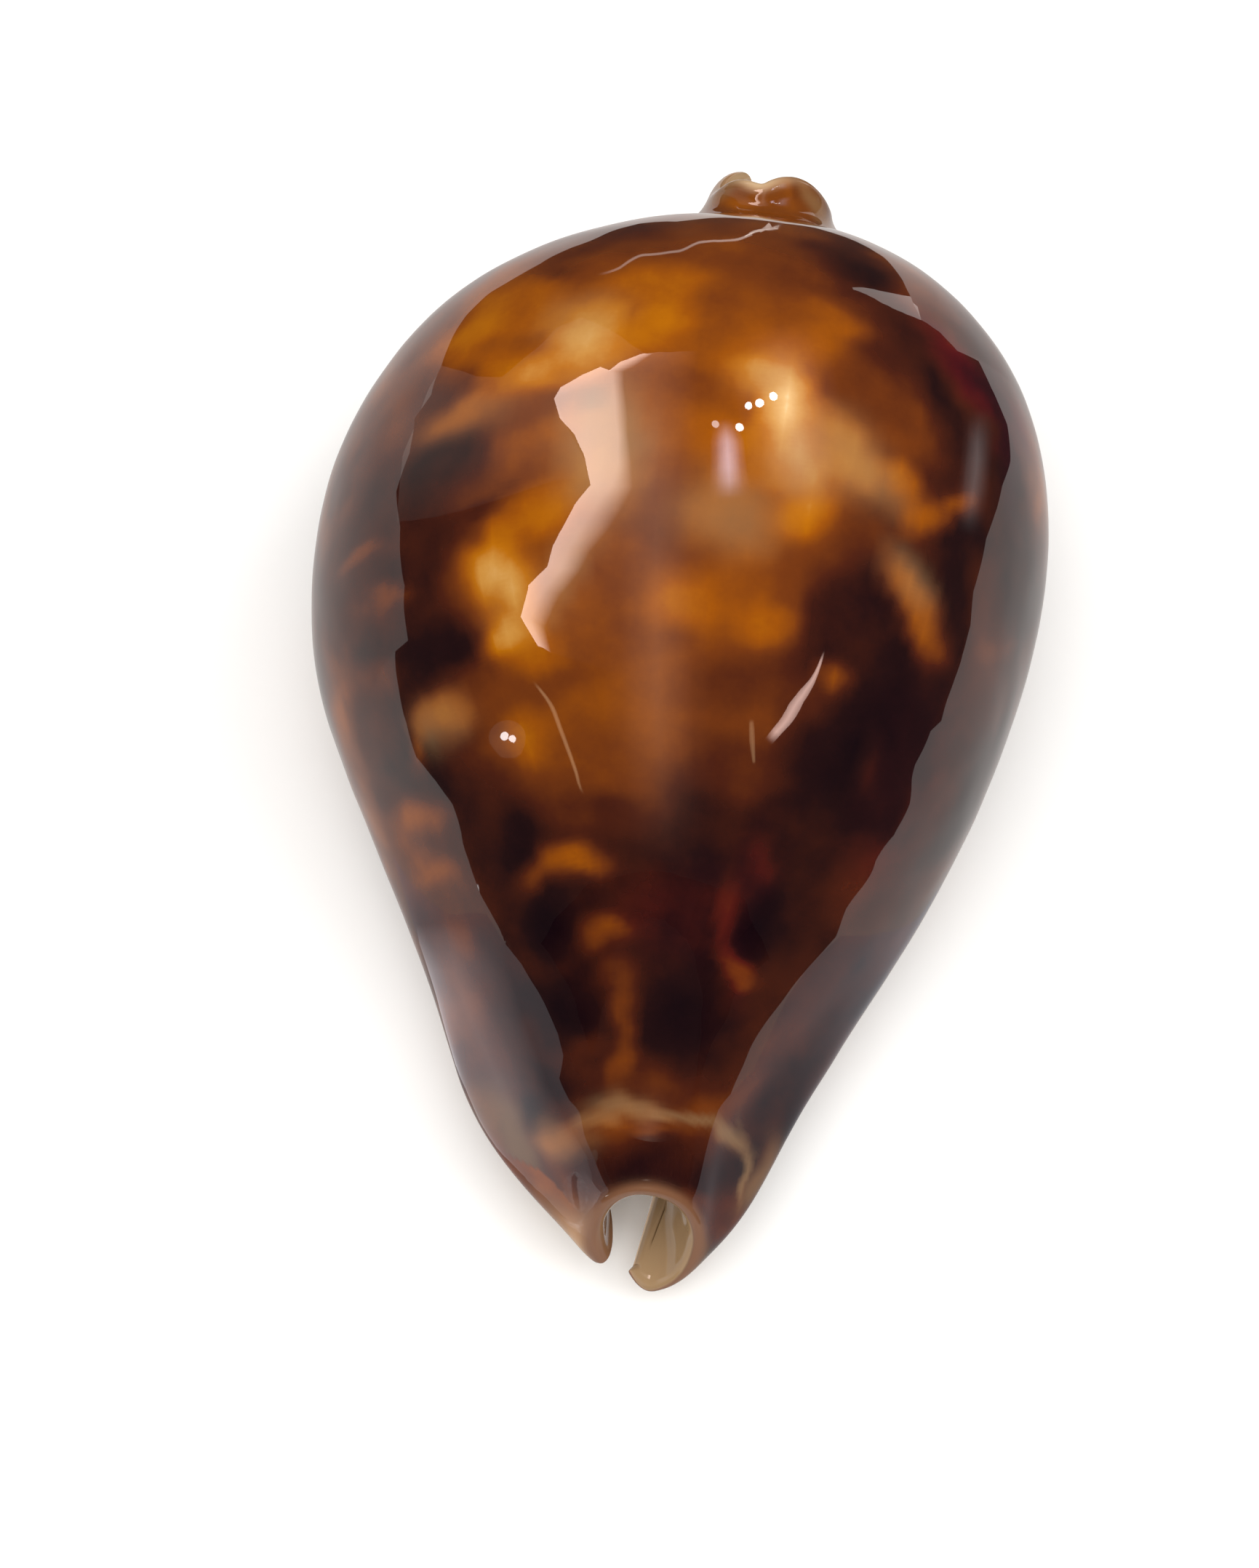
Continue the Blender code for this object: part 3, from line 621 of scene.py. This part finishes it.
def polished_enamel():
    """Cowrie enamel: aragonite laid down in thin, clear, coloured coats and polished by the mantle.

    The colour lies in soft patches under a mirror-like surface, so a clear coat stands over it.
    """
    material, tree, output = new_material("polished_aragonite_enamel")
    place = add_node(tree, "ShaderNodeTexCoord").outputs["Object"]

    def stored(name):
        return add_node(tree, "ShaderNodeAttribute", attribute_name=name).outputs["Fac"]

    def mixed(factor, a, b, blend="MIX"):
        node = add_node(tree, "ShaderNodeMix", data_type="RGBA", blend_type=blend)
        for socket, value in ((0, factor), (6, a), (7, b)):
            if isinstance(value, bpy.types.NodeSocket):
                tree.links.new(value, node.inputs[socket])
            else:
                node.inputs[socket].default_value = value
        return node.outputs[2]

    def speckle(size_mm, detail, weight):
        """A fine unevenness of the tone, from -weight to weight, with grains of a size in mm."""
        field = add_node(tree, "ShaderNodeTexNoise", {"Vector": place, "Scale": 1 / (size_mm * MM),
                                                      "Detail": detail, "Roughness": 0.6})
        return add_node(tree, "ShaderNodeMath", {0: field.outputs[0], 1: 2 * weight, 2: -weight},
                        operation="MULTIPLY_ADD").outputs[0]

    def total(a, b):
        return add_node(tree, "ShaderNodeMath", {0: a, 1: b}, operation="ADD").outputs[0]

    tone = total(total(stored("tone"), speckle(2.2, 3.0, 0.05)), speckle(0.35, 2.0, 0.012))
    mottling = ramp(tree, tone, [(0.0, "#10050A"), (0.12, "#1E0B0C"), (0.30, "#431B0E"), (0.45, "#66300E"),
                                 (0.58, "#894607"), (0.70, "#A66004"), (0.80, "#BA8238"), (0.90, "#CDA060"),
                                 (1.0, "#E8D0AA")])
    crimson = ramp(tree, tone, [(0.0, "#14040A"), (0.15, "#2C0810"), (0.3, "#5C0A16"), (0.5, "#6E3016"),
                                (1.0, "#B07040")])
    mottling = mixed(stored("red"), mottling, crimson)
    # Pale fawn: dull blotches of the back, and painted reflection on both sides of the rear spout and on the
    # front spout's flanges.
    mottling = mixed(stored("pale"), mottling, srgb("#8A7250"))
    base = ramp(tree, tone, [(0.0, "#2A1512"), (0.35, "#5A3424"), (0.7, "#9A6A48"), (1.0, "#C89A70")])
    colour = mixed(stored("under"), mottling, base)
    colour = mixed(stored("lip"), colour, srgb("#D8B48A"))
    colour = mixed(stored("rear"), colour, srgb("#7C4818"))
    colour = mixed(stored("inside"), colour, srgb("#967A5A"))
    # A cream line along the rear canal's rim: painted highlight.
    colour = mixed(stored("rear_rim_highlight"), colour, srgb("#C8A882"))
    # The front rim's own brown, also laid on the inside of the outer lip's front end as painted shade.
    colour = mixed(stored("front_rim_and_shade"), colour, srgb("#7A543C"))

    shader = add_node(tree, "ShaderNodeBsdfPrincipled",
                      {"Base Color": colour, "Metallic": 0.0, "Roughness": 0.28, "IOR": 1.53,
                       "Specular IOR Level": 0.0, "Coat Weight": 1.0, "Coat Roughness": 0.015,
                       "Coat IOR": 1.53})
    tree.links.new(shader.outputs[0], output.inputs["Surface"])
    return material


def plain_paint(name, colour, roughness):
    material, tree, output = new_material(name)
    shader = add_node(tree, "ShaderNodeBsdfPrincipled", {"Base Color": srgb(colour), "Roughness": roughness})
    tree.links.new(shader.outputs[0], output.inputs["Surface"])
    return material


def glow(name, colour, strength, clear=True):
    """Light of one colour, faded by the mesh's glow attribute; clear light lets what is behind through."""
    material, tree, output = new_material(name)
    share = add_node(tree, "ShaderNodeAttribute", attribute_name="glow").outputs["Fac"]
    power = add_node(tree, "ShaderNodeMath", {0: share, 1: strength}, operation="MULTIPLY").outputs[0]
    light = add_node(tree, "ShaderNodeEmission", {"Color": srgb(colour), "Strength": power}).outputs[0]
    if clear:
        behind = add_node(tree, "ShaderNodeBsdfTransparent").outputs[0]
        light = add_node(tree, "ShaderNodeAddShader", {0: light, 1: behind}).outputs[0]
    tree.links.new(light, output.inputs["Surface"])
    return material


# Stage

def stage_mesh(name, points, faces, material, camera=True, mirrored=True, scattered=True, shadow=True):
    """A floor, backdrop or light panel, and which rays meet it."""
    mesh = bpy.data.meshes.new(name)
    mesh.from_pydata([tuple(p) for p in points], [], faces)
    mesh.materials.append(material)
    piece = bpy.data.objects.new(name, mesh)
    bpy.context.scene.collection.objects.link(piece)
    piece.visible_camera, piece.visible_glossy = camera, mirrored
    piece.visible_diffuse, piece.visible_shadow = scattered, shadow
    return piece


def reflected_piece(name, points, faces, material, glows=None):
    """A stage piece that only reflections see, and the share of its light at each point."""
    piece = stage_mesh(name, points, faces, material, camera=False, scattered=False, shadow=False)
    if glows is not None:
        store(piece.data, "glow", glows)


FLOOR_LEVEL, SHEET_LEVEL = -0.0001, 0.00005   # under the shell's rest and just over it, in metres


def make_floor():
    """A pale floor that curves up into a pale backdrop, far from the shell."""
    profile = [(0.0, 0.0), (0.7, 0.0), (0.9, 0.03), (1.05, 0.12), (1.13, 0.28), (1.16, 0.5), (1.17, 1.4)]
    sides = 64
    points = [(0, 0, FLOOR_LEVEL)]
    for radius, height in profile[1:]:
        points += [(radius * math.cos(2 * math.pi * k / sides), radius * math.sin(2 * math.pi * k / sides),
                    height + FLOOR_LEVEL) for k in range(sides)]
    faces = [(0, 1 + k, 1 + (k + 1) % sides) for k in range(sides)]
    for ring in range(len(profile) - 2):
        low, high = 1 + ring * sides, 1 + (ring + 1) * sides
        faces += [(low + k, high + k, high + (k + 1) % sides, low + (k + 1) % sides) for k in range(sides)]
    floor = stage_mesh("floor", points, faces, plain_paint("matt_pale_paper", "#F4F3F1", 0.9),
                       mirrored=False, shadow=False)
    floor.data.shade_smooth()


# The edge of the ground's grey reflection, from the left flange of the front spout over the rear end
# to the right flange, in pixels, and how the ground is closed in front of the shell, in mm.
GROUND_EDGE = [
    (690, 1292), (661, 1228), (645, 1182), (632, 1140), (622, 1107), (599, 1075), (573, 1042), (554, 984),
    (544, 922), (544, 893), (560, 880), (557, 805), (554, 722), (545, 676), (563, 624), (570, 575),
    (593, 543), (607, 504), (622, 466), (642, 434), (669, 407), (692, 392), (742, 364), (814, 331),
    (880, 308), (931, 305), (1000, 301), (1040, 303), (1076, 312), (1113, 319), (1189, 339), (1214, 355),
    (1240, 384), (1246, 396), (1256, 420), (1265, 441), (1291, 457), (1316, 483), (1345, 497),
    (1363, 534), (1385, 584), (1389, 635), (1378, 668), (1367, 708), (1356, 740), (1338, 813),
    (1334, 860), (1323, 900), (1309, 944), (1294, 991), (1280, 1005), (1258, 1053), (1251, 1104),
    (1229, 1151), (1204, 1183), (1185, 1220), (1164, 1250), (1149, 1288), (1111, 1330),
]
GROUND_FRONT = [(38.0, -60.0), (30.0, -120.0), (-60.0, -120.0), (-56.0, -70.0)]
# Beside the shell the sheet's light is lower: painted shadow of the shell on the ground.
SHEET_GLOW = (0.6, 0.76)   # beside the shell and at the sheet's edge, where white paper is 1


def make_sheet(seen):
    """The pale ground that the surface mirrors: it ends a short way from the shell, which shades it; that
    shade is painted as dimmer light beside the shell.
    """
    down = np.array([0.0, 0.0, -1.0])
    edge = np.array([seen.mirrored_on(x, y, down, 0.0)[:2] for x, y in GROUND_EDGE] + GROUND_FRONT)
    n = len(edge)
    rings = [(share * edge, light) for share, light in ((1.0, SHEET_GLOW[1]), (0.55, SHEET_GLOW[0]))]
    points = [(x * MM, y * MM, SHEET_LEVEL) for ring, _ in rings for x, y in ring] + [(0, 0, SHEET_LEVEL)]
    faces = [(k, (k + 1) % n, n + (k + 1) % n, n + k) for k in range(n)] \
        + [(n + k, n + (k + 1) % n, 2 * n) for k in range(n)]
    reflected_piece("pale_ground", points, faces, glow("lit_ground", "#FFF8F4", 1.0, clear=False),
                    [light for _, light in rings for _ in range(n)] + [SHEET_GLOW[0]])


# Things that the surface mirrors, by the pixels where it shows them.
GLINT_DISTANCE = 120.0     # how far away they are, in mm
# The window: its bright edge, how far its bright strip reaches, where that ends, and its light's end.
WINDOW = [((885, 488), (890, 488), (900, 487), (960, 482)), ((855, 497), (866, 498), (880, 499), (960, 498)),
          ((838, 510), (842, 510), (858, 511), (960, 512)), ((826, 505), (843, 514), (858, 515), (960, 517)),
          ((800, 516), (843, 524), (858, 525), (960, 527)), ((771, 532), (844, 537), (859, 537), (960, 538)),
          ((762, 549), (845, 550), (860, 550), (960, 552)), ((770, 575), (847, 575), (862, 575), (960, 577)),
          ((790, 597), (850, 598), (864, 598), (960, 600)), ((805, 634), (850, 634), (868, 634), (960, 635)),
          ((812, 666), (842, 667), (870, 670), (960, 675)), ((790, 695), (818, 697), (854, 702), (958, 708)),
          ((775, 721), (800, 723), (836, 729), (948, 742)), ((760, 750), (782, 752), (812, 758), (940, 775)),
          ((753, 779), (773, 781), (797, 787), (925, 812)), ((727, 805), (747, 809), (772, 817), (910, 848)),
          ((720, 834), (734, 838), (757, 848), (895, 882)), ((716, 848), (729, 852), (750, 862), (885, 902)),
          ((740, 888), (746, 890), (758, 898), (870, 932))]
WINDOW_SHARES = [(1.0, 0.8, 0.01 * tail, 0.0) for tail in np.linspace(12, 1, len(WINDOW))]
# A dim, wide reflection of the room on the left shoulder, as rows of pixels.
SHOULDER_HAZE = [
    ((600, 500), (655, 518), (690, 517), (735, 482), (765, 452), (800, 437), (850, 460), (885, 488)),
    ((578, 545), (640, 548), (680, 548), (720, 548), (745, 548), (755, 548), (759, 548), (762, 549)),
    ((554, 620), (620, 625), (670, 625), (720, 620), (760, 612), (785, 612), (795, 620), (803, 634)),
    ((546, 718), (600, 712), (680, 690), (720, 675), (760, 660), (790, 655), (805, 655), (811, 670)),
]
HAZE_SHARES = ((0.6,), (1.0,), (0.9,), (0.3,))
# A thin tongue of the ground's reflection below the dark patch of the right shoulder.
TONGUE = [((1172, 396), (1173, 399)), ((1190, 397), (1191, 406)), ((1212, 401), (1213, 418)),
          ((1240, 406), (1240, 431)), ((1258, 408), (1266, 441))]
# Light on the left flange of the front spout, brightest at its outer side.
FLANGE_LIGHT = [
    ((572, 1270), (612, 1270), (650, 1270), (690, 1270)),
    ((586, 1335), (628, 1335), (662, 1335), (702, 1335)),
    ((596, 1380), (640, 1380), (676, 1380), (714, 1380)),
    ((617, 1440), (666, 1440), (702, 1440), (736, 1440)),
    ((638, 1490), (688, 1490), (722, 1490), (752, 1490)),
    ((660, 1540), (710, 1540), (742, 1540), (776, 1540)),
    ((690, 1590), (738, 1590), (772, 1590), (806, 1590)),
    ((732, 1650), (766, 1650), (792, 1650), (815, 1650)),
    ((786, 1705), (796, 1705), (806, 1705), (818, 1705)),
]
FLANGE_SHARES = [(0.0, 0.0, 0.0, 0.0), (0.5, 0.5, 0.2, 0.0), (0.6, 0.7, 0.3, 0.0), (0.6, 0.8, 0.35, 0.0),
                 (0.7, 0.9, 0.4, 0.0), (0.7, 0.75, 0.35, 0.0), (0.6, 0.6, 0.35, 0.1), (0.4, 0.35, 0.2, 0.1),
                 (0.1, 0.1, 0.1, 0.0)]

# Pale strips that stand up close to both flanges of the front spout: the direction they face from the
# shell's middle, how far away they are in mm, and the edge of their reflection, in pixels.
LEFT_STAND = ((-0.75, -0.66), 33.0, [
    (690, 1292), (717, 1326), (740, 1364), (767, 1422), (774, 1452), (768, 1483), (782, 1514), (797, 1533),
    (805, 1567), (820, 1602), (826, 1651)])
RIGHT_STAND = ((0.93, -0.37), 27.0, [
    (1130, 1310), (1111, 1330), (1080, 1376), (1057, 1430), (1034, 1475), (1015, 1495), (988, 1525)])
STAND_ENDS = 8.0           # how far a strip goes on past both ends of that edge, in mm
STAND_LEAST = 1.0          # how high it is at least, in mm
STAND_GLOW = 0.62          # its light, where white paper is 1
STRIP_GAP = 0.3            # how far the flange's light lies in front of the left strip's plane, in mm


def make_stand(seen, name, facing, away, edge):
    """A pale upright strip that a flange mirrors. Its rear end slopes down to the ground."""
    facing = np.array([*facing, 0.0])
    tops = [seen.mirrored_on(x, y, unit(facing), away) for x, y in edge]
    along = unit(tops[-1] - tops[0]) * (1, 1, 0) * STAND_ENDS
    foot, shoulder = (tops[0] - 2 * along) * (1, 1, 0), tops[0] - 0.3 * along
    tops = [foot, shoulder, *tops, tops[-1] + along]
    points = [(x * MM, y * MM, z) for x, y, top in tops for z in (0, max(top, STAND_LEAST) * MM)]
    faces = [(k, k + 2, k + 3, k + 1) for k in range(0, len(points) - 2, 2)]
    reflected_piece(name, points, faces, glow(name + "_light", "#F6F4FA", 1.0, clear=False),
                    [STAND_GLOW] * len(points))


# A dark arch close over the front spout keeps the window and the lamps out of its roof: how far it
# reaches along the shell, its middle across and up, its radius in mm, and the turns where it ends.
ARCH_ALONG, ARCH_MIDDLE, ARCH_RADIUS, ARCH_ENDS = (-54.0, -34.0), (2.0, 12.0), 20.0, (20, 160)


def make_dark_arch():
    """The arch, as one curved black card."""
    turns = np.radians(np.linspace(*ARCH_ENDS, 15))
    points = [((ARCH_MIDDLE[0] + ARCH_RADIUS * math.cos(turn)) * MM, y * MM,
               (ARCH_MIDDLE[1] + ARCH_RADIUS * math.sin(turn)) * MM) for turn in turns for y in ARCH_ALONG]
    faces = [(k, k + 1, k + 3, k + 2) for k in range(0, len(points) - 2, 2)]
    reflected_piece("dark_arch", points, faces, plain_paint("black_card", "#060505", 0.9))


FINE_STEP, STEPS_ACROSS = 8.0, 5   # pixels between a ribbon's rows, and steps between its given places


def finer(rows):
    """The rows, each a list of x, y and share, with more rows between them about every FINE_STEP pixels."""
    apart = np.linalg.norm(np.diff(rows[..., :2], axis=0), axis=-1).max(axis=1)
    parts = [a + (b - a) * k / n for a, b, n in zip(rows, rows[1:], np.ceil(apart / FINE_STEP))
             for k in range(int(n))]
    return parts + [rows[-1]]


def mirrored_ribbon(seen, name, rows, shares, colour, strength, plane=None):
    """A glowing ribbon that the surface mirrors at the given rows of pixels.

    The shares fade it: one for each place across, or a row of them for each row. It lies far away,
    or on a plane given by its normal and its distance.
    """
    rows = np.array(rows, float)
    shares = np.broadcast_to(shares, rows.shape[:2])
    across = STEPS_ACROSS * (rows.shape[1] - 1) + 1
    step = np.linspace(0, rows.shape[1] - 1, across)
    points, glows = [], []
    rows = finer(np.concatenate([rows, shares[..., None]], axis=-1))
    for row in rows:
        x, y, share = (np.interp(step, range(len(row)), row[:, i]) for i in range(3))
        points += [(seen.mirrored_on(a, b, *plane) if plane else seen.mirrored(a, b, GLINT_DISTANCE)) * MM
                   for a, b in zip(x, y)]
        glows += share.tolist()
    faces = [(r * across + c, r * across + c + 1, (r + 1) * across + c + 1, (r + 1) * across + c)
             for r in range(len(rows) - 1) for c in range(across - 1)]
    reflected_piece(name, points, faces, glow(name + "_light", colour, strength), glows)


# Streaks of light: the pixels along the middle, half the width there, the share at both sides, the
# colour and the strength. A share of 0 at the sides makes a streak that fades out all round.
STREAKS = [
    ([(732, 935), (762, 974), (778, 1026), (801, 1088)], (2, 3, 3, 2), 0.4, "#E8C090", 5.0),
    ([(1133, 895), (1121, 930), (1107, 951), (1085, 985), (1056, 1019)], (1, 3, 7, 8, 6), 0.5,
     "#FFD8CC", 12.0),
    ([(1033, 988), (1034, 1020), (1036, 1053)], (3, 4, 2), 0.4, "#E8C090", 4.0),
    ([(820, 380), (848, 372), (862, 361), (880, 351), (900, 350), (925, 346), (938, 345), (958, 334),
      (978, 332), (1003, 331), (1022, 328), (1036, 317), (1077, 313)], 2.0, 0.4, "#E8DCD4", 2.4),
    ([(655, 1212), (657, 1226)], 3.0, 0.4, "#FFFFFF", 6.0),
    ([(905, 440), (900, 600), (902, 800), (903, 980), (912, 1100), (922, 1220)], 75, 0.0, "#FFE4D0", 1.05),
    ([(1066, 440), (1085, 560), (1114, 710)], 72, 0.0, "#E4ECFF", 1.6),
    ([(1346, 560), (1342, 640), (1330, 740)], 22, 0.0, "#E8E4E4", 1.1),
    ([(996, 575), (1000, 612), (1004, 690)], (16, 24, 30), 0.0, "#E8E8FF", 9.0),
]
SOFT_SIDES = (0.0, 0.15, 0.6, 1.0, 0.6, 0.15, 0.0)
SOFT_END, CRISP_END = 0.4, 0.12   # the part of a streak's length over which each end fades


def rounded(path):
    """The path with its corners rounded: two rounds of cutting them, with both ends kept."""
    for _ in range(2):
        cuts = [part for a, b in zip(path, path[1:]) for part in (0.75 * a + 0.25 * b, 0.25 * a + 0.75 * b)]
        path = np.array([path[0], *cuts, path[-1]])
    return path


def make_streaks(seen):
    """Each streak is a ribbon along its rounded path, fading at both ends."""
    for k, (path, half, side_share, colour, strength) in enumerate(STREAKS):
        path = np.array(path, float)
        half = np.broadcast_to(half, len(path))
        path, half = rounded(path), rounded(half)
        ahead = unit(np.gradient(path, axis=0))
        side = np.stack([-ahead[:, 1], ahead[:, 0]], axis=-1) * half[:, None]
        walk = np.concatenate([[0], np.cumsum(np.linalg.norm(np.diff(path, axis=0), axis=1))])
        to_end = np.minimum(walk, walk[-1] - walk) / walk[-1]
        if side_share == 0:
            shares = np.outer(smooth_step(to_end / SOFT_END), SOFT_SIDES)
        else:
            shares = np.outer(smooth_step(to_end / CRISP_END), (side_share, 1.0, side_share))
        places = np.linspace(-1, 1, shares.shape[1])
        rows = [[p + place * a for place in places] for p, a in zip(path, side)]
        mirrored_ribbon(seen, f"streak_{k}", rows, shares, colour, strength)


# Small lamps: pixel, radius in pixels, colour, strength, and the share at the rim.
LAMPS = [
    (984, 584, 5, "#FFFFFF", 8, 1.0), (1017, 587, 6, "#FFFFFF", 22, 1.0),
    (1029, 559, 5, "#FFFFFF", 22, 1.0), (1044, 555, 6, "#FFFFFF", 26, 1.0),
    (1063, 546, 6, "#FFFFFF", 22, 1.0), (694, 1014, 6, "#FFFFFF", 14, 1.0),
    (705, 1018, 5, "#FFFFFF", 14, 1.0), (698, 1016, 26, "#B0A89C", 1.2, 0.6),
]


def make_lamps(seen):
    """Each lamp is a disc that the surface mirrors within its circle of pixels."""
    sides = 16
    for k, (x, y, radius, colour, strength, rim) in enumerate(LAMPS):
        points, glows = [seen.mirrored(x, y, GLINT_DISTANCE) * MM], [1.0]
        for share in (0.5, 1.0):
            for turn in np.linspace(0, 2 * math.pi, sides, endpoint=False):
                a, b = x + share * radius * math.cos(turn), y + share * radius * math.sin(turn)
                points.append(seen.mirrored(a, b, GLINT_DISTANCE) * MM)
                glows.append(1 + share * (rim - 1))
        after = [(j + 1) % sides for j in range(sides)]
        faces = [(0, 1 + j, 1 + after[j]) for j in range(sides)] \
            + [(1 + j, 1 + sides + j, 1 + sides + after[j], 1 + after[j]) for j in range(sides)]
        reflected_piece(f"lamp_{k}", points, faces, glow(f"lamp_light_{k}", colour, strength), glows)


def add_light(name, place, size, power, aim=(0, 0, 0.02)):
    """A soft disc of light that the polish doesn't mirror."""
    light = bpy.data.lights.new(name, "AREA")
    light.shape, light.size, light.energy = "DISK", size, power
    lamp = bpy.data.objects.new(name, light)
    lamp.location = place
    lamp.rotation_euler = (Vector(aim) - Vector(place)).to_track_quat("-Z", "Y").to_euler()
    lamp.visible_glossy = False
    bpy.context.scene.collection.objects.link(lamp)


def make_camera():
    """The photo's camera, shifted so that the point it looks at lies where the photo has it."""
    right, up, back = camera_axes()
    camera = bpy.data.cameras.new("photo_camera")
    camera.sensor_width = 36       # along the photo's longer side
    camera.lens = camera.sensor_width * CAMERA_DISTANCE * PIXELS_PER_MM / PHOTO_HEIGHT
    camera.shift_x = (PHOTO_WIDTH / 2 - PHOTO_CENTRE[0]) / PHOTO_HEIGHT
    camera.shift_y = (PHOTO_CENTRE[1] - PHOTO_HEIGHT / 2) / PHOTO_HEIGHT
    camera.clip_start = 0.01
    holder = bpy.data.objects.new("photo_camera", camera)
    turned = Matrix((right, up, back)).transposed().to_4x4()
    turned.translation = Vector((LOOK_AT + CAMERA_DISTANCE * back) * MM)
    holder.matrix_world = turned
    bpy.context.scene.collection.objects.link(holder)
    bpy.context.scene.camera = holder


def make_world():
    """A dim room, which fills the shadows a little."""
    world = bpy.data.worlds.new("dim_room")
    world.use_nodes = True
    background = world.node_tree.nodes["Background"]
    background.inputs["Color"].default_value = srgb("#C9BFB6")
    background.inputs["Strength"].default_value = 0.08
    bpy.context.scene.world = world
    bpy.context.scene.view_settings.view_transform = "Standard"


def fit_in_box(mesh, low, high):
    """Eases the mesh into the frame's box, from which the waves would carry it a hair's breadth."""
    points = np.empty(len(mesh.vertices) * 3, np.float32)
    mesh.vertices.foreach_get("co", points)
    points = points.reshape(-1, 3).astype(float)
    own_low, own_high = points.min(0), points.max(0)
    low, high = np.array(low), np.array(high)
    low, high = np.maximum(low, own_low), np.minimum(high, own_high)
    points = low + (points - own_low) * (high - low) / (own_high - own_low)
    mesh.vertices.foreach_set("co", points.astype(np.float32).ravel())
    mesh.update()


def make_shell():
    """The shell's visible mesh, painted, and what its waved outer face mirrors to the photo's camera."""
    outer, inner, facts = shell_faces()
    out = unit(np.cross(np.gradient(outer, axis=0), np.gradient(outer, axis=1)))
    out *= np.sign(out[ROWS // 2, COLUMNS // 2, 2])
    to_lip = np.minimum(facts["from_outer_lip"], facts["from_inner_lip"])
    seen = Seen(outer, out, to_lip)
    mesh = shell_mesh(outer, inner)
    ones = np.ones(outer.shape[:2])

    for name in ("along", "from_outer_lip", "from_inner_lip"):
        store(mesh, name, with_inside(facts[name], facts[name]))
    wavy = smooth_step((facts["from_outer_lip"] - 6) / 8) * smooth_step((facts["from_inner_lip"] - 6) / 8) \
        * smooth_step((np.minimum(facts["from_front"], facts["from_rear"]) - 2) / 5)
    to_outer = -unit(np.gradient(outer, axis=1))
    nearer_outer = (facts["from_outer_lip"] < facts["from_inner_lip"])[..., None]
    slitward = np.where(nearer_outer, to_outer, -to_outer)
    store(mesh, "outside", with_inside(facts["fullness"], 0 * ones))
    store(mesh, "wavy", with_inside(wavy, 0 * ones))
    store(mesh, "outward", with_inside(out, 0 * out))
    store(mesh, "slitward", with_inside(slitward, 0 * out))
    paint(mesh, seen, outer, facts)

    shell = bpy.data.objects.new("shell_enamel", mesh)
    bpy.context.scene.collection.objects.link(shell)
    modifier = shell.modifiers.new("teeth_and_waves", "NODES")
    tree = teeth_and_waves()
    modifier.node_group = tree
    for item in tree.interface.items_tree:
        if item.in_out == "INPUT" and item.socket_type == "NodeSocketMaterial":
            modifier[item.identifier] = polished_enamel()
    depsgraph = bpy.context.evaluated_depsgraph_get()
    shell.data = bpy.data.meshes.new_from_object(shell.evaluated_get(depsgraph), depsgraph=depsgraph)
    shell.modifiers.clear()
    fit_in_box(shell.data, cad_low, cad_high)
    vertex_values = []
    for name in ("co", "normal"):
        values = np.empty(3 * len(shell.data.vertices), np.float32)
        shell.data.vertices.foreach_get(name, values)
        vertex_values.append(values.reshape(-1, 3)[:ROWS * COLUMNS].astype(float))
    waved = Seen(vertex_values[0] / MM, vertex_values[1], to_lip)
    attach(shell, "root")
    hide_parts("shell")
    return waved


seen = make_shell()
make_floor()
make_sheet(seen)
make_dark_arch()
mirrored_ribbon(seen, "window", WINDOW, WINDOW_SHARES, "#FFE4D8", 11.0)
mirrored_ribbon(seen, "shoulder_haze", SHOULDER_HAZE, HAZE_SHARES, "#FFEFE4", 0.5)
mirrored_ribbon(seen, "shoulder_tongue", TONGUE, (1.0, 1.0), "#FFF8F4", 1.6)
make_stand(seen, "left_stand", *LEFT_STAND)
make_stand(seen, "right_stand", *RIGHT_STAND)
mirrored_ribbon(seen, "flange_light", FLANGE_LIGHT, FLANGE_SHARES, "#F0EEF2", 2.6,
                (unit(np.array([*LEFT_STAND[0], 0.0])), LEFT_STAND[1] - STRIP_GAP))
make_streaks(seen)
make_lamps(seen)
add_light("overhead_softbox", (-0.14, -0.06, 0.65), 0.9, 6.2)
add_light("side_softbox", (0.35, 0.10, 0.45), 0.5, 2.0)
make_world()
make_camera()
